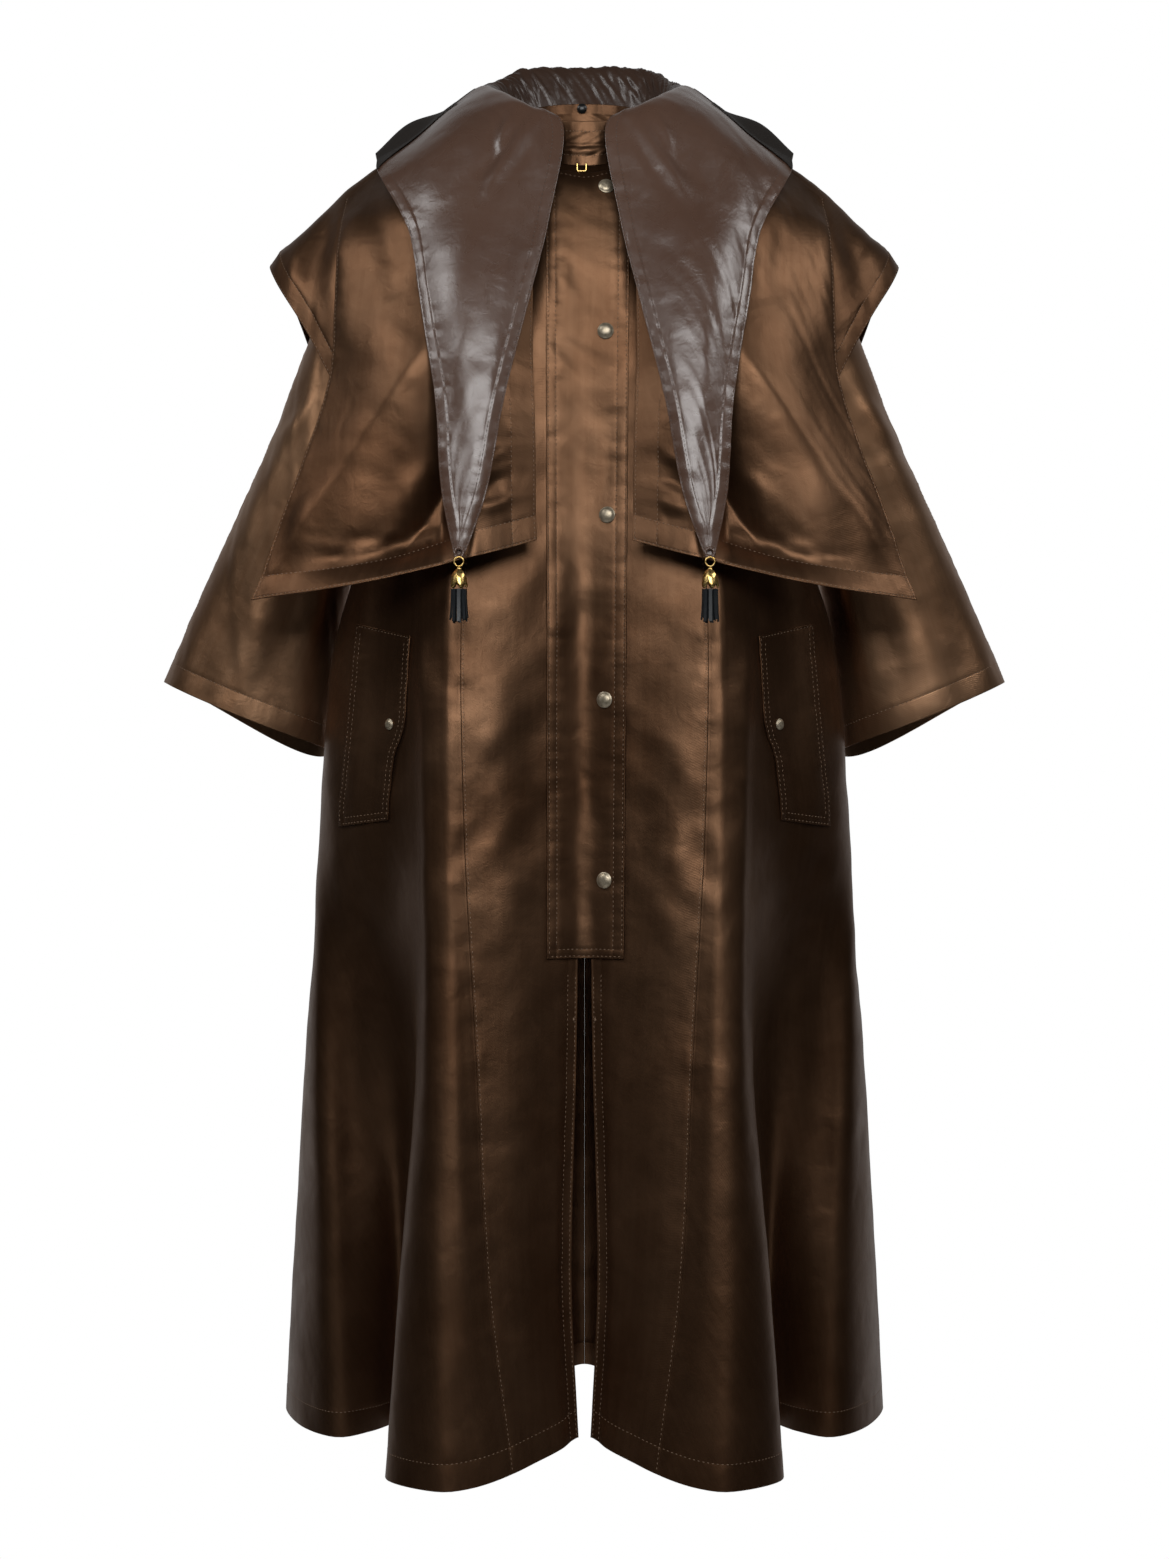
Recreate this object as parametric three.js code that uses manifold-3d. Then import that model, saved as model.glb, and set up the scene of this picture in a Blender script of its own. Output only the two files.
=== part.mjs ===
// Hooded cape coat, worn shape with no wearer. Millimetres, +Z up, the front faces -Y.
// +X is the wearer's left. The origin is the middle of the neck and shoulder seat, where a hanger holds it.
import * as THREE from "three";
import { mergeVertices } from "three/addons/utils/BufferGeometryUtils.js";
import Module from "manifold-3d";

const wasm = await Module();
wasm.setup();

// Driving sizes
const coatWall = 1.5;
const capeWall = 1.5;
const hoodWall = 1.6;
const collarWall = 2.4;
const placketWall = 2;
const flapWall = 2;
const seamGap = 0.3;
const layGap = 0.4;
const snapRadius = 7.4;
const snapHeight = 3.2;
const pocketSnapRadius = 5.2;
const neckSnapRadius = 4.8;

// Colours, roughness and metalness of the materials
const looks = {
  satin: [0x4d3527, 0.42, 0],
  laminate: [0x56463d, 0.25, 0],
  antiqueBrass: [0x8f806b, 0.4, 1],
  gold: [0xe0a63f, 0.25, 1],
  leather: [0x20262b, 0.5, 0],
  blackPlastic: [0x141414, 0.4, 0],
};

const group = new THREE.Group();

// Vector helpers on plain arrays
const plus = (a, b, k = 1) => [a[0] + b[0] * k, a[1] + b[1] * k, a[2] + b[2] * k];
const minus = (a, b) => plus(a, b, -1);
const cross = (a, b) => [
  a[1] * b[2] - a[2] * b[1],
  a[2] * b[0] - a[0] * b[2],
  a[0] * b[1] - a[1] * b[0],
];
const unit = (a) => {
  const long = Math.hypot(...a);
  return a.map((v) => v / long);
};
const mix = (a, b, u) => a + (b - a) * u;
const mixed = (a, b, u) => a.map((v, k) => mix(v, b[k], u));
const mirrored = (p) => [-p[0], p[1], p[2]];
const radians = (deg) => (deg * Math.PI) / 180;

// A smooth cubic through points that stand at given knots
function through(knots, points, at) {
  let k = 0;
  while (k < knots.length - 2 && at > knots[k + 1]) k += 1;
  const span = knots[k + 1] - knots[k];
  const u = (at - knots[k]) / span;
  const rise = (i) => minus(points[i + 1], points[i]).map((v) => v / (knots[i + 1] - knots[i]));
  const slope = (i) => {
    if (i === 0) return rise(0);
    if (i === knots.length - 1) return rise(i - 1);
    const before = knots[i] - knots[i - 1];
    const after = knots[i + 1] - knots[i];
    return mixed(rise(i - 1), rise(i), before / (before + after));
  };
  const [from, to] = [slope(k), slope(k + 1)];
  const a = 2 * u ** 3 - 3 * u ** 2 + 1;
  const b = u ** 3 - 2 * u ** 2 + u;
  const c = -2 * u ** 3 + 3 * u ** 2;
  const d = u ** 3 - u ** 2;
  return [0, 1, 2].map(
    (i) => a * points[k][i] + b * span * from[i] + c * points[k + 1][i] + d * span * to[i],
  );
}

// A surface through ribs: each rib is a list of points down the cloth
function ribbed(across, down, ribs) {
  return (s, t) => through(across, ribs.map((rib) => through(down, rib, t)), s);
}

function normalAt(surface, s, t, e = 1e-3) {
  const alongS = minus(surface(s + e, t), surface(s - e, t));
  const alongT = minus(surface(s, Math.min(t + e, 1)), surface(s, Math.max(t - e, 0)));
  return unit(cross(alongS, alongT));
}

// Surface place whose x and z are given, found by small corrected steps
function spotOn(surface, x, z, s, t) {
  const e = 1e-4;
  for (let n = 0; n < 60; n += 1) {
    const p = surface(s, t);
    const ds = minus(surface(s + e, t), p).map((v) => v / e);
    const dt = minus(surface(s, t + e), p).map((v) => v / e);
    const det = ds[0] * dt[2] - dt[0] * ds[2];
    const [missX, missZ] = [x - p[0], z - p[2]];
    s += (0.6 * (missX * dt[2] - missZ * dt[0])) / det;
    t += (0.6 * (missZ * ds[0] - missX * ds[2])) / det;
  }
  return [s, t];
}

// Even steps from one value to another
const steps = (from, to, count) =>
  Array.from({ length: count + 1 }, (_, i) => mix(from, to, i / count));

// Places on a surface: a row for each t, a column for each s
const grid = (sList, tList) => tList.map((t) => sList.map((s) => [s, t]));

function addMesh(name, geometry, look) {
  const [color, roughness, metalness] = looks[look];
  const material = new THREE.MeshStandardMaterial({ color, roughness, metalness });
  const mesh = new THREE.Mesh(geometry, material);
  mesh.name = name;
  group.add(mesh);
  return mesh;
}

function closedGeometry(points, faces) {
  let volume = 0;
  for (const [a, b, c] of faces) {
    const n = cross(points[b], points[c]);
    volume += points[a][0] * n[0] + points[a][1] * n[1] + points[a][2] * n[2];
  }
  const turned = volume < 0 ? faces.map(([a, b, c]) => [a, c, b]) : faces;
  const geometry = new THREE.BufferGeometry();
  geometry.setAttribute("position", new THREE.Float32BufferAttribute(points.flat(), 3));
  geometry.setIndex(turned.flat());
  geometry.computeVertexNormals();
  return geometry;
}

// Moves the outside row or column of a grid of points in by half a seam gap
function trimmed(points, edges) {
  const rows = points.length;
  const cols = points[0].length;
  const out = points.map((row) => row.map((p) => [...p]));
  const pull = (j, i, nj, ni) => {
    const way = unit(minus(points[nj][ni], points[j][i]));
    out[j][i] = plus(out[j][i], way, seamGap / 2);
  };
  for (let j = 0; j < rows; j += 1) {
    if (edges.includes("first")) pull(j, 0, j, 1);
    if (edges.includes("last")) pull(j, cols - 1, j, cols - 2);
  }
  for (let i = 0; i < cols; i += 1) {
    if (edges.includes("top")) pull(0, i, 1, i);
    if (edges.includes("bottom")) pull(rows - 1, i, rows - 2, i);
  }
  return out;
}

// A wall of cloth on a surface: outer points, inner points one wall inside, and a rim
function clothGeometry(surface, places, options) {
  const { wall, lift = 0, outward = 1, seams = [], flip = false, kept = (p) => p } = options;
  const rows = places.length;
  const cols = places[0].length;
  const layer = (far) =>
    places.map((row) =>
      row.map(([s, t]) => {
        const n = normalAt(surface, s, t);
        const p = kept(plus(surface(s, t), n, outward * far));
        return flip ? mirrored(p) : p;
      }),
    );
  const outer = trimmed(layer(lift), seams);
  const inner = trimmed(layer(lift - wall), seams);
  const points = [...outer.flat(), ...inner.flat()];
  const half = rows * cols;
  const at = (j, i) => j * cols + i;
  const faces = [];
  const quad = (a, b, c, d) => faces.push([a, b, c], [a, c, d]);
  for (let j = 0; j < rows - 1; j += 1) {
    for (let i = 0; i < cols - 1; i += 1) {
      quad(at(j, i), at(j + 1, i), at(j + 1, i + 1), at(j, i + 1));
      quad(at(j, i) + half, at(j, i + 1) + half, at(j + 1, i + 1) + half, at(j + 1, i) + half);
    }
  }
  const rim = [];
  for (let i = 0; i < cols - 1; i += 1) rim.push(at(0, i));
  for (let j = 0; j < rows - 1; j += 1) rim.push(at(j, cols - 1));
  for (let i = cols - 1; i > 0; i -= 1) rim.push(at(rows - 1, i));
  for (let j = rows - 1; j > 0; j -= 1) rim.push(at(j, 0));
  rim.forEach((a, k) => {
    const b = rim[(k + 1) % rim.length];
    quad(a, b, b + half, a + half);
  });
  return closedGeometry(points, faces);
}

// Both copies of a piece: the wearer's right lies at -X and is made first
function addPair(name, look, surface, places, options) {
  addMesh(`${name}_right`, clothGeometry(surface, places, options), look);
  addMesh(`${name}_left`, clothGeometry(surface, places, { ...options, flip: true }), look);
}

// Armhole: an upright oval, 0 degrees at the shoulder tip, 90 in front, 180 under the arm
const armhole = { topX: -200, topZ: -30, lowX: -190, lowZ: -235, midY: 10, halfDepth: 66 };

function armholePoint(deg) {
  const c = Math.cos(radians(deg));
  return [
    mix(armhole.lowX, armhole.topX, (1 + c) / 2),
    armhole.midY - armhole.halfDepth * Math.sin(radians(deg)),
    mix(armhole.lowZ, armhole.topZ, (1 + c) / 2),
  ];
}

// Coat body: one row for each fold or seam line that runs down the coat, from centre front to
// centre back. at: place round the hem. top: where it starts, or degrees round the armhole.
// The other columns are x and y at the heights in bodyHeights, and the hem's x, y and z.
const bodyHeights = { chest: -300, waist: -446, hip: -620, knee: -820, shin: -1030 };
const bodyRibs = [
  { at: 0.008, top: [-6, -80, -20], chest: [-5, -118], waist: [-5, -126], hip: [-5, -129],
    knee: [-7, -131], shin: [-11.6, -131], hem: [-5.4, -130, -1175] },
  { at: 0.035, top: [-50, -62, -7], chest: [-32, -122], waist: [-30, -134], hip: [-28, -138],
    knee: [-24, -141], shin: [-26, -143], hem: [-20.3, -145, -1182] },
  { at: 0.075, top: [-68, 9.7, 22], chest: [-66, -126], waist: [-66, -144], hip: [-64, -152],
    knee: [-56, -156], shin: [-52, -160], hem: [-44.3, -162, -1191] },
  { at: 0.11, top: [-120, 9.7, 1.5], chest: [-106, -126], waist: [-111, -150], hip: [-108, -160],
    knee: [-97, -168], shin: [-86, -176], hem: [-65, -177, -1198] },
  { at: 0.165, top: [-145, 9.7, -8], chest: [-128, -120], waist: [-130, -147], hip: [-127, -160],
    knee: [-120, -175], shin: [-113, -188], hem: [-102, -196, -1206] },
  { at: 0.21, top: [-172, 9.7, -19], chest: [-146, -110], waist: [-147, -135], hip: [-143, -150],
    knee: [-139, -168], shin: [-138, -186], hem: [-131, -200, -1207.5] },
  { at: 0.26, top: 0.3, chest: [-160, -98], waist: [-157, -120], hip: [-152, -132],
    knee: [-150, -142], shin: [-165, -154], hem: [-177, -155, -1208] },
  { at: 0.34, top: 60, chest: [-176, -80], waist: [-186, -90], hip: [-184, -92],
    knee: [-158, -70], shin: [-160, -40], hem: [-160, -20, -1208] },
  { at: 0.42, top: 100, chest: [-185, -55], waist: [-214, -64], hip: [-216, -64],
    knee: [-182, -20], shin: [-178, 40], hem: [-180, 84, -1208] },
  { at: 0.47, top: 130, chest: [-187, -25], waist: [-233, -32], hip: [-240, -34],
    knee: [-218, 0], shin: [-200, 25], hem: [-205, 45, -1208] },
  { at: 0.52, top: 150, chest: [-187, 5], waist: [-231, 5], hip: [-252, 5],
    knee: [-252, 10], shin: [-240, 10], hem: [-236, 18, -1208] },
  { at: 0.57, top: 168, chest: [-185, 32], waist: [-221, 36], hip: [-247, 42],
    knee: [-267, 50], shin: [-270, 55], hem: [-272, 60, -1208] },
  { at: 0.64, top: 180, chest: [-180, 58], waist: [-205, 68], hip: [-231, 82],
    knee: [-265, 105], shin: [-287, 140], hem: [-300, 171, -1208] },
  { at: 0.71, top: 225, chest: [-165, 90], waist: [-178, 112], hip: [-203, 140],
    knee: [-238, 178], shin: [-258, 205], hem: [-262, 228, -1208] },
  { at: 0.78, top: 290, chest: [-138, 104], waist: [-142, 134], hip: [-158, 165],
    knee: [-178, 192], shin: [-186, 208], hem: [-190, 218, -1206] },
  { at: 0.85, top: 359.7, chest: [-105, 113], waist: [-110, 148], hip: [-118, 185],
    knee: [-128, 225], shin: [-134, 258], hem: [-138, 284, -1204] },
  { at: 0.91, top: [-120, 10.3, 1.5], chest: [-70, 117], waist: [-74, 148], hip: [-80, 178],
    knee: [-86, 212], shin: [-90, 240], hem: [-92, 264, -1200] },
  { at: 0.95, top: [-68, 10.3, 22], chest: [-35, 117], waist: [-37, 142], hip: [-39, 163],
    knee: [-42, 186], shin: [-46, 208], hem: [-48, 226, -1194] },
  { at: 0.975, top: [-44, 55, 31], chest: [-18, 116], waist: [-19, 144], hip: [-20, 170],
    knee: [-21, 200], shin: [-22, 228], hem: [-24, 248, -1190] },
  { at: 1, top: [0, 72, 34], chest: [0, 115], waist: [0, 146], hip: [0, 174],
    knee: [0, 208], shin: [0, 240], hem: [0, 268, -1187] },
];
const bodyDown = [0, 0.06, 0.12, 0.18, 0.26, 0.38, 0.52, 0.68, 0.85, 1];

// From its top a rib leaves level and turns down along a quarter of an oval to the chest
function bodyRib(row) {
  const top = Array.isArray(row.top) ? row.top : armholePoint(row.top);
  const chest = [...row.chest, bodyHeights.chest];
  const quarter = [0, 0.25, 0.5, 0.75].map((u) => {
    const out = Math.sin((u * Math.PI) / 2);
    const fall = 1 - Math.cos((u * Math.PI) / 2);
    return [mix(top[0], chest[0], out), mix(top[1], chest[1], out), mix(top[2], chest[2], fall)];
  });
  const lower = ["waist", "hip", "knee", "shin"].map((name) => [...row[name], bodyHeights[name]]);
  return [...quarter, chest, ...lower, row.hem];
}

// The whole ring from centre back to centre back, so that it is smooth across both centres
const halfRing = bodyRibs.map((row) => ({ at: row.at, rib: bodyRib(row) }));
const otherHalf = halfRing.map(({ at, rib }) => ({ at: -at, rib: rib.map(mirrored) }));
const pastBack = halfRing
  .slice(-3, -1)
  .map(({ at, rib }) => ({ at: 2 - at, rib: rib.map(mirrored) }))
  .reverse();
const ring = [...otherHalf.reverse(), ...halfRing, ...pastBack];
const body = ribbed(ring.map((r) => r.at), bodyDown, ring.map((r) => r.rib));

const bodyRows = [
  0, 0.03, 0.06, 0.09, 0.12, 0.15, 0.18, 0.22, 0.26, 0.32, 0.38, 0.45, 0.52, 0.6, 0.68, 0.76, 0.84,
  0.92, 1,
];
const princessAt = 0.11;
const sideSeamAt = 0.64;
const frontColumns = [0.008, 0.02, 0.035, 0.055, 0.075, 0.0925, 0.11];
const sideFrontColumns = [
  0.11, 0.1375, 0.165, 0.1875, 0.21, 0.235, 0.26, 0.3, 0.34, 0.38, 0.42, 0.445, 0.47, 0.495, 0.52,
  0.545, 0.57, 0.605, 0.64,
];
const backColumns = [
  0.64, 0.675, 0.71, 0.745, 0.78, 0.815, 0.85, 0.88, 0.91, 0.93, 0.95, 0.975, 1,
];

// Fronts and backs stop either side of the shoulder seam
const shoulderSeamY = 10;
const aheadOfSeam = ([x, y, z]) => [x, z > -100 ? Math.min(y, shoulderSeamY - seamGap) : y, z];
const behindSeam = ([x, y, z]) => [x, z > -100 ? Math.max(y, shoulderSeamY + seamGap) : y, z];
addPair("front", "satin", body, grid(frontColumns, bodyRows), {
  wall: coatWall,
  seams: ["last"],
  kept: aheadOfSeam,
});
// The side front is cut across at the chest, where the cape and the sleeve cover it
const yokeSeamAt = 0.26;
const yokeRows = bodyRows.filter((t) => t <= yokeSeamAt);
const sideRows = bodyRows.filter((t) => t >= yokeSeamAt);
addPair("side_yoke", "satin", body, grid(sideFrontColumns, yokeRows), {
  wall: coatWall,
  seams: ["first", "last", "bottom"],
  kept: aheadOfSeam,
});
addPair("side_front", "satin", body, grid(sideFrontColumns, sideRows), {
  wall: coatWall,
  seams: ["first", "last", "top"],
});
addPair("back", "satin", body, grid(backColumns, bodyRows), {
  wall: coatWall,
  seams: ["first", "last"],
  kept: behindSeam,
});

// Fly placket over both front edges: x of its edges at two heights
const placket = { topZ: -22, lowZ: -740.5, topRight: -35, topLeft: 41.5, lowRight: -34.4, lowLeft: 36.2 };
const placketGap = 0.9;
const onPlacket = placketGap + placketWall;

const placketTopT = spotOn(body, 0, placket.topZ, 0, 0.03)[1];
const placketLowT = spotOn(body, 0, placket.lowZ, 0, 0.6)[1];

// How far round from the centre the coat is this wide, at one row
function widthAt(x, t) {
  let [near, far] = [0, 0.1];
  for (let n = 0; n < 40; n += 1) {
    const middle = (near + far) / 2;
    if (-body(middle, t)[0] < x) near = middle;
    else far = middle;
  }
  return near;
}

// A row of the placket on a row of the coat, with the coat's own columns between its edges
function placketRow(t) {
  const down = (t - placketTopT) / (placketLowT - placketTopT);
  const right = widthAt(-mix(placket.topRight, placket.lowRight, down), t);
  const left = widthAt(mix(placket.topLeft, placket.lowLeft, down), t);
  const inside = [0.035, 0.02, 0.008];
  const half = (edge) => inside.map((s, k) => Math.min(s, edge - 0.0015 * (3 - k)));
  const columns = [-left, ...half(left).map((s) => -s), ...half(right).reverse(), right];
  return columns.map((s) => [s, t]);
}

const placketT = [placketTopT, ...bodyRows.filter((t) => t > placketTopT + 0.004 && t < placketLowT - 0.01)];
const placketPlaces = [...placketT, placketLowT].map(placketRow);
addMesh(
  "placket",
  clothGeometry(body, placketPlaces, { wall: placketWall, lift: onPlacket }),
  "satin",
);

// Stand collar: a ring round the neck whose ends meet under the wearer's left lapel
const collar = { openDeg: -34, gapDeg: 0.7, midY: -4, halfWidth: 60, halfDepth: 76.2, sideRise: 9 };

function collarSurface(s, t) {
  const deg = mix(collar.openDeg + collar.gapDeg, collar.openDeg + 360 - collar.gapDeg, s);
  const [sin, cos] = [Math.sin(radians(deg)), Math.cos(radians(deg))];
  const inwards = 3 * t;
  return [
    -(collar.halfWidth - inwards) * sin,
    collar.midY + t - (collar.halfDepth - 0.3 * inwards) * cos,
    mix(11 - 23.6 * cos + collar.sideRise * sin * sin, 54 - 25 * cos, t),
  ];
}

const collarPlaces = grid(steps(0, 1, 28), [0, 0.5, 1]);
addMesh(
  "collar",
  clothGeometry(collarSurface, collarPlaces, { wall: collarWall, outward: -1 }),
  "satin",
);

// Sleeve: a section for each row. outer and inner: x and z of the ring's ends in the front view.
// backDrop: how much lower the back of the ring hangs.
const sleeveRows = [
  { outer: [-200.3, -30], inner: [-190.3, -235], midY: 10, halfDepth: 66, backDrop: 0 },
  { outer: [-231, -74], inner: [-202, -250], midY: 11, halfDepth: 66, backDrop: 0 },
  { outer: [-262, -160], inner: [-208, -300], midY: 14, halfDepth: 67, backDrop: 0 },
  { outer: [-311.5, -281], inner: [-222, -385], midY: 24, halfDepth: 65, backDrop: 2 },
  { outer: [-358.5, -380], inner: [-236, -470], midY: 36, halfDepth: 63, backDrop: 8 },
  { outer: [-405, -485], inner: [-246, -550], midY: 44, halfDepth: 62, backDrop: 12 },
];
const sleeveDown = [0, 0.14, 0.34, 0.58, 0.78, 1];
const headGap = 1.4;
const lowGap = 2.6;

// Place round the coat of an angle round the armhole
function armholeAt(deg) {
  const turn = Math.max(0.3, deg > 360 ? deg - 360 : Math.min(deg, 359.7));
  const round = bodyRibs.filter((row) => !Array.isArray(row.top));
  const k = Math.max(1, round.findIndex((row) => row.top >= turn));
  const [from, to] = [round[k - 1], round[k]];
  return mix(from.at, to.at, (turn - from.top) / (to.top - from.top));
}

function sleeveSurface(s, t) {
  const [sin, cos] = [Math.sin(radians(s)), Math.cos(radians(s))];
  const rib = sleeveRows.map((row) => [
    mix(row.inner[0], row.outer[0], (1 + cos) / 2),
    row.midY - row.halfDepth * sin,
    mix(row.inner[1], row.outer[1], (1 + cos) / 2) - row.backDrop * Math.max(0, -sin) * (1 - cos),
  ]);
  const wider = headGap * Math.max(0, cos) + lowGap * Math.max(0, -cos * sin);
  rib[0] = plus(body(armholeAt(s), 0), [-1, 0, 0], seamGap + wider);
  return through(sleeveDown, rib, t);
}

const sleeveSeamDeg = 8;
const sleeveT = steps(0, 1, 10);
addPair("sleeve_front", "satin", sleeveSurface, grid(steps(sleeveSeamDeg, 180, 9), sleeveT), {
  wall: coatWall,
  outward: -1,
  seams: ["first", "last"],
});
addPair("sleeve_back", "satin", sleeveSurface, grid(steps(180, 360 + sleeveSeamDeg, 9), sleeveT), {
  wall: coatWall,
  outward: -1,
  seams: ["first", "last"],
});

// Back cape with its wings over the shoulders: a row for each rib from the wing's front edge
// round to the centre back. round: how early the rib falls, 1 is a quarter of an oval. square: how
// far the rib takes the shoulder's own shape, which is high at first and then drops faster.
const capeRibs = [
  { at: 0, start: [-72, -20, 17], hem: [-205, -82, -240], round: 0.8 },
  { at: 0.07, start: [-74, -12, 19], hem: [-231, -80, -213], round: 0.75 },
  { at: 0.14, start: [-76, -5, 21], hem: [-256, -62, -167], round: 0.7, square: 0.2 },
  { at: 0.22, start: [-77, 2, 23], hem: [-289, -25, -113], round: 0.62, square: 0.6 },
  { at: 0.29, start: [-78, 8, 24], hem: [-299, 2, -92], round: 0.6, square: 1 },
  { at: 0.38, start: [-77, 20, 27], hem: [-291, 46, -97], round: 0.62, square: 0.6 },
  { at: 0.5, start: [-68, 40, 31], hem: [-259, 101, -186], round: 0.66, square: 0.2 },
  { at: 0.62, start: [-53, 57, 35], hem: [-211, 137, -290], round: 0.7 },
  { at: 0.75, start: [-36, 68, 38], hem: [-146, 160, -370], round: 0.72 },
  { at: 0.88, start: [-18, 72.2, 38], hem: [-74, 168, -398], round: 0.75 },
  { at: 1, start: [0, 73.7, 38], hem: [0, 170, -405], round: 0.75 },
];
const capeDown = steps(0, 1, 6);
const shoulderLift = [0, 7, 18, 5, -8, -6, 0];

function capeRib(row) {
  return capeDown.map((u, k) => {
    const out = Math.sin((u * Math.PI) / 2);
    const fall = (1 - Math.cos((u * Math.PI) / 2)) ** row.round;
    return [
      mix(row.start[0], row.hem[0], out),
      mix(row.start[1], row.hem[1], out),
      mix(row.start[2], row.hem[2], fall) + (row.square ?? 0) * shoulderLift[k],
    ];
  });
}

const capeHalf = capeRibs.map((row) => ({ at: row.at, rib: capeRib(row) }));
const capeOther = capeHalf
  .slice(0, -1)
  .map(({ at, rib }) => ({ at: 2 - at, rib: rib.map(mirrored) }))
  .reverse();
const capeAll = [...capeHalf, ...capeOther];
const cape = ribbed(capeAll.map((r) => r.at), capeDown, capeAll.map((r) => r.rib));
addMesh(
  "cape_back",
  clothGeometry(cape, grid(steps(0, 2, 30), [0, 0.1, 0.22, 0.35, 0.5, 0.65, 0.8, 0.91, 1]), {
    wall: capeWall,
  }),
  "satin",
);

// Cape front: a row for each level from the shoulder to the hem, between the free front edge and
// the free side edge. bowY and bowZ: how far the middle of the row stands off a straight line.
const capeFrontRows = [
  { front: [-47, -88, -8], side: [-225, -25, -34.6], bowY: 50, bowZ: 30.4,
    raise: [-0.75, -0.75, 3.25, 11.75, 2.25] },
  { front: [-47, -104, -60], side: [-228, -62, -75], bowY: -8, bowZ: 22 },
  { front: [-47, -122, -140], side: [-229, -80, -140], bowY: -28, bowZ: 0 },
  { front: [-47, -134, -212], side: [-231, -94, -212], bowY: -34, bowZ: 0 },
  { front: [-46.8, -143, -285], side: [-250, -106, -282], bowY: -36, bowZ: -3 },
  { front: [-46.5, -148, -330], side: [-272, -117, -345], bowY: -36, bowZ: -5 },
  { front: [-46.3, -150, -365.5], side: [-295.4, -125, -419.7], bowY: -34, bowZ: -5 },
];
const capeFrontDown = [0, 0.16, 0.36, 0.54, 0.72, 0.86, 1];
const fifths = steps(0, 1, 4);

const capeFrontRibs = fifths.map((r, k) =>
  capeFrontRows.map((row) => {
    const bow = 4 * r * (1 - r);
    const bowed = plus(mixed(row.front, row.side, r), [0, row.bowY, row.bowZ], bow);
    return plus(bowed, [0, 0, 1], row.raise?.[k] ?? 0);
  }),
);
const capeFront = ribbed(fifths, capeFrontDown, capeFrontRibs);
addPair("cape_front", "satin", capeFront, grid(steps(0, 1, 11), steps(0, 1, 11)), {
  wall: capeWall,
});

// Hood lapel: a row for each level from the shoulder seam to the pointed end, five points across
// from the inner edge by the neck to the outer edge
const lapelRows = [
  [[-70, 2, 44], [-92, 8, 82], [-127, 12, 63], [-163, 8, 32], [-196, -12, 6]],
  [[-52, -60, 42], [-76, -50, 61], [-114, -40, 50], [-154, -34, 22], [-194, -40, -9]],
  [[-21, -88, 27], [-60, -88, 34], [-103, -80, 22], [-146, -72, 0], [-186, -66, -26]],
  [[-32.4, -124, -70], [-65, -132, -72], [-98, -132, -75], [-130, -124, -78], [-160, -107, -80]],
  [[-50, -150, -148], [-75, -157, -147], [-100, -158, -146], [-125, -151, -145], [-149, -136, -144]],
  [[-72, -172, -240], [-87, -177, -240], [-103, -178, -239], [-118, -174, -239], [-133.5, -166, -238]],
  [[-89, -185, -331], [-98, -188, -331], [-107, -188, -331], [-117, -186, -330], [-126, -182, -330]],
  [[-105.8, -190, -379], [-108.3, -190.5, -379.5], [-110.8, -190.5, -380], [-113.3, -190.5, -380.5],
    [-115.5, -190, -381]],
];
const lapelDown = [0, 0.11, 0.22, 0.38, 0.53, 0.71, 0.89, 1];
const lapelRibs = fifths.map((_, i) => lapelRows.map((row) => row[i]));
const lapel = ribbed(fifths, lapelDown, lapelRibs);
addPair("hood_lapel", "laminate", lapel, grid(steps(0, 1, 7), steps(0, 1, 13)), {
  wall: hoodWall,
  seams: ["top"],
});

// Fallen hood behind the neck: a row for each rib from the lapel's seam to the centre back, with
// points at the neck, inside the roll, on its crest, behind it, low on the back and at the hem
const hoodRibs = [
  { at: 0, points: [[-70, 3.2, 44], [-80, 5.2, 66], [-92, 9.2, 82],
    [-127, 13.2, 63], [-163, 9.4, 32], [-196, -10.6, 6]] },
  { at: 0.3, points: [[-66, 36, 50], [-70, 42, 78], [-80, 50, 96],
    [-128, 52, 68], [-170, 44, 51], [-199, 26, 14]] },
  { at: 0.6, points: [[-48, 66, 52], [-51, 72, 92], [-58, 86, 116],
    [-110, 112, 78], [-156, 112, 28], [-186, 98, -50]] },
  { at: 0.82, points: [[-25, 71.4, 46], [-26, 82, 95], [-30, 96, 121],
    [-66, 142, 80], [-92, 162, 4], [-106, 166, -95]] },
  { at: 1, points: [[0, 72.9, 44], [0, 85, 95], [0, 99, 121],
    [0, 150, 80], [0, 174, -12], [0, 180, -150]] },
];
const hoodDown = [0, 0.14, 0.3, 0.55, 0.78, 1];
const hoodOther = hoodRibs
  .slice(0, -1)
  .map(({ at, points }) => ({ at: 2 - at, points: points.map(mirrored) }))
  .reverse();
const hoodAll = [...hoodRibs, ...hoodOther];
const hood = ribbed(hoodAll.map((r) => r.at), hoodDown, hoodAll.map((r) => r.points));
addMesh(
  "hood_back",
  clothGeometry(hood, grid(steps(0, 2, 22), [0, 0.14, 0.22, 0.3, 0.38, 0.46, 0.55, 0.7, 0.85, 1]), {
    wall: hoodWall,
    seams: ["first", "last"],
  }),
  "laminate",
);

// Pocket flaps lie on the side fronts: x and z of both ends of each row
const pocketRows = [
  { back: [-210, -435], front: [-157.5, -448.6] },
  { back: [-214.4, -484], front: [-160, -491] },
  { back: [-218.8, -532], front: [-162.8, -533] },
  { back: [-221.2, -554.3], front: [-172.5, -554.7] },
  { back: [-223.5, -574], front: [-175.2, -574] },
  { back: [-226.8, -597.2], front: [-178, -596.8] },
  { back: [-227.7, -622.3], front: [-178.9, -616] },
];
const pocketPlaces = pocketRows.map(({ back, front }) =>
  steps(0, 1, 4).map((u) => spotOn(body, mix(front[0], back[0], u), mix(front[1], back[1], u), 0.36, 0.46)),
);
addPair("pocket_flap", "satin", body, pocketPlaces, { wall: flapWall, lift: layGap + flapWall });

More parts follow.
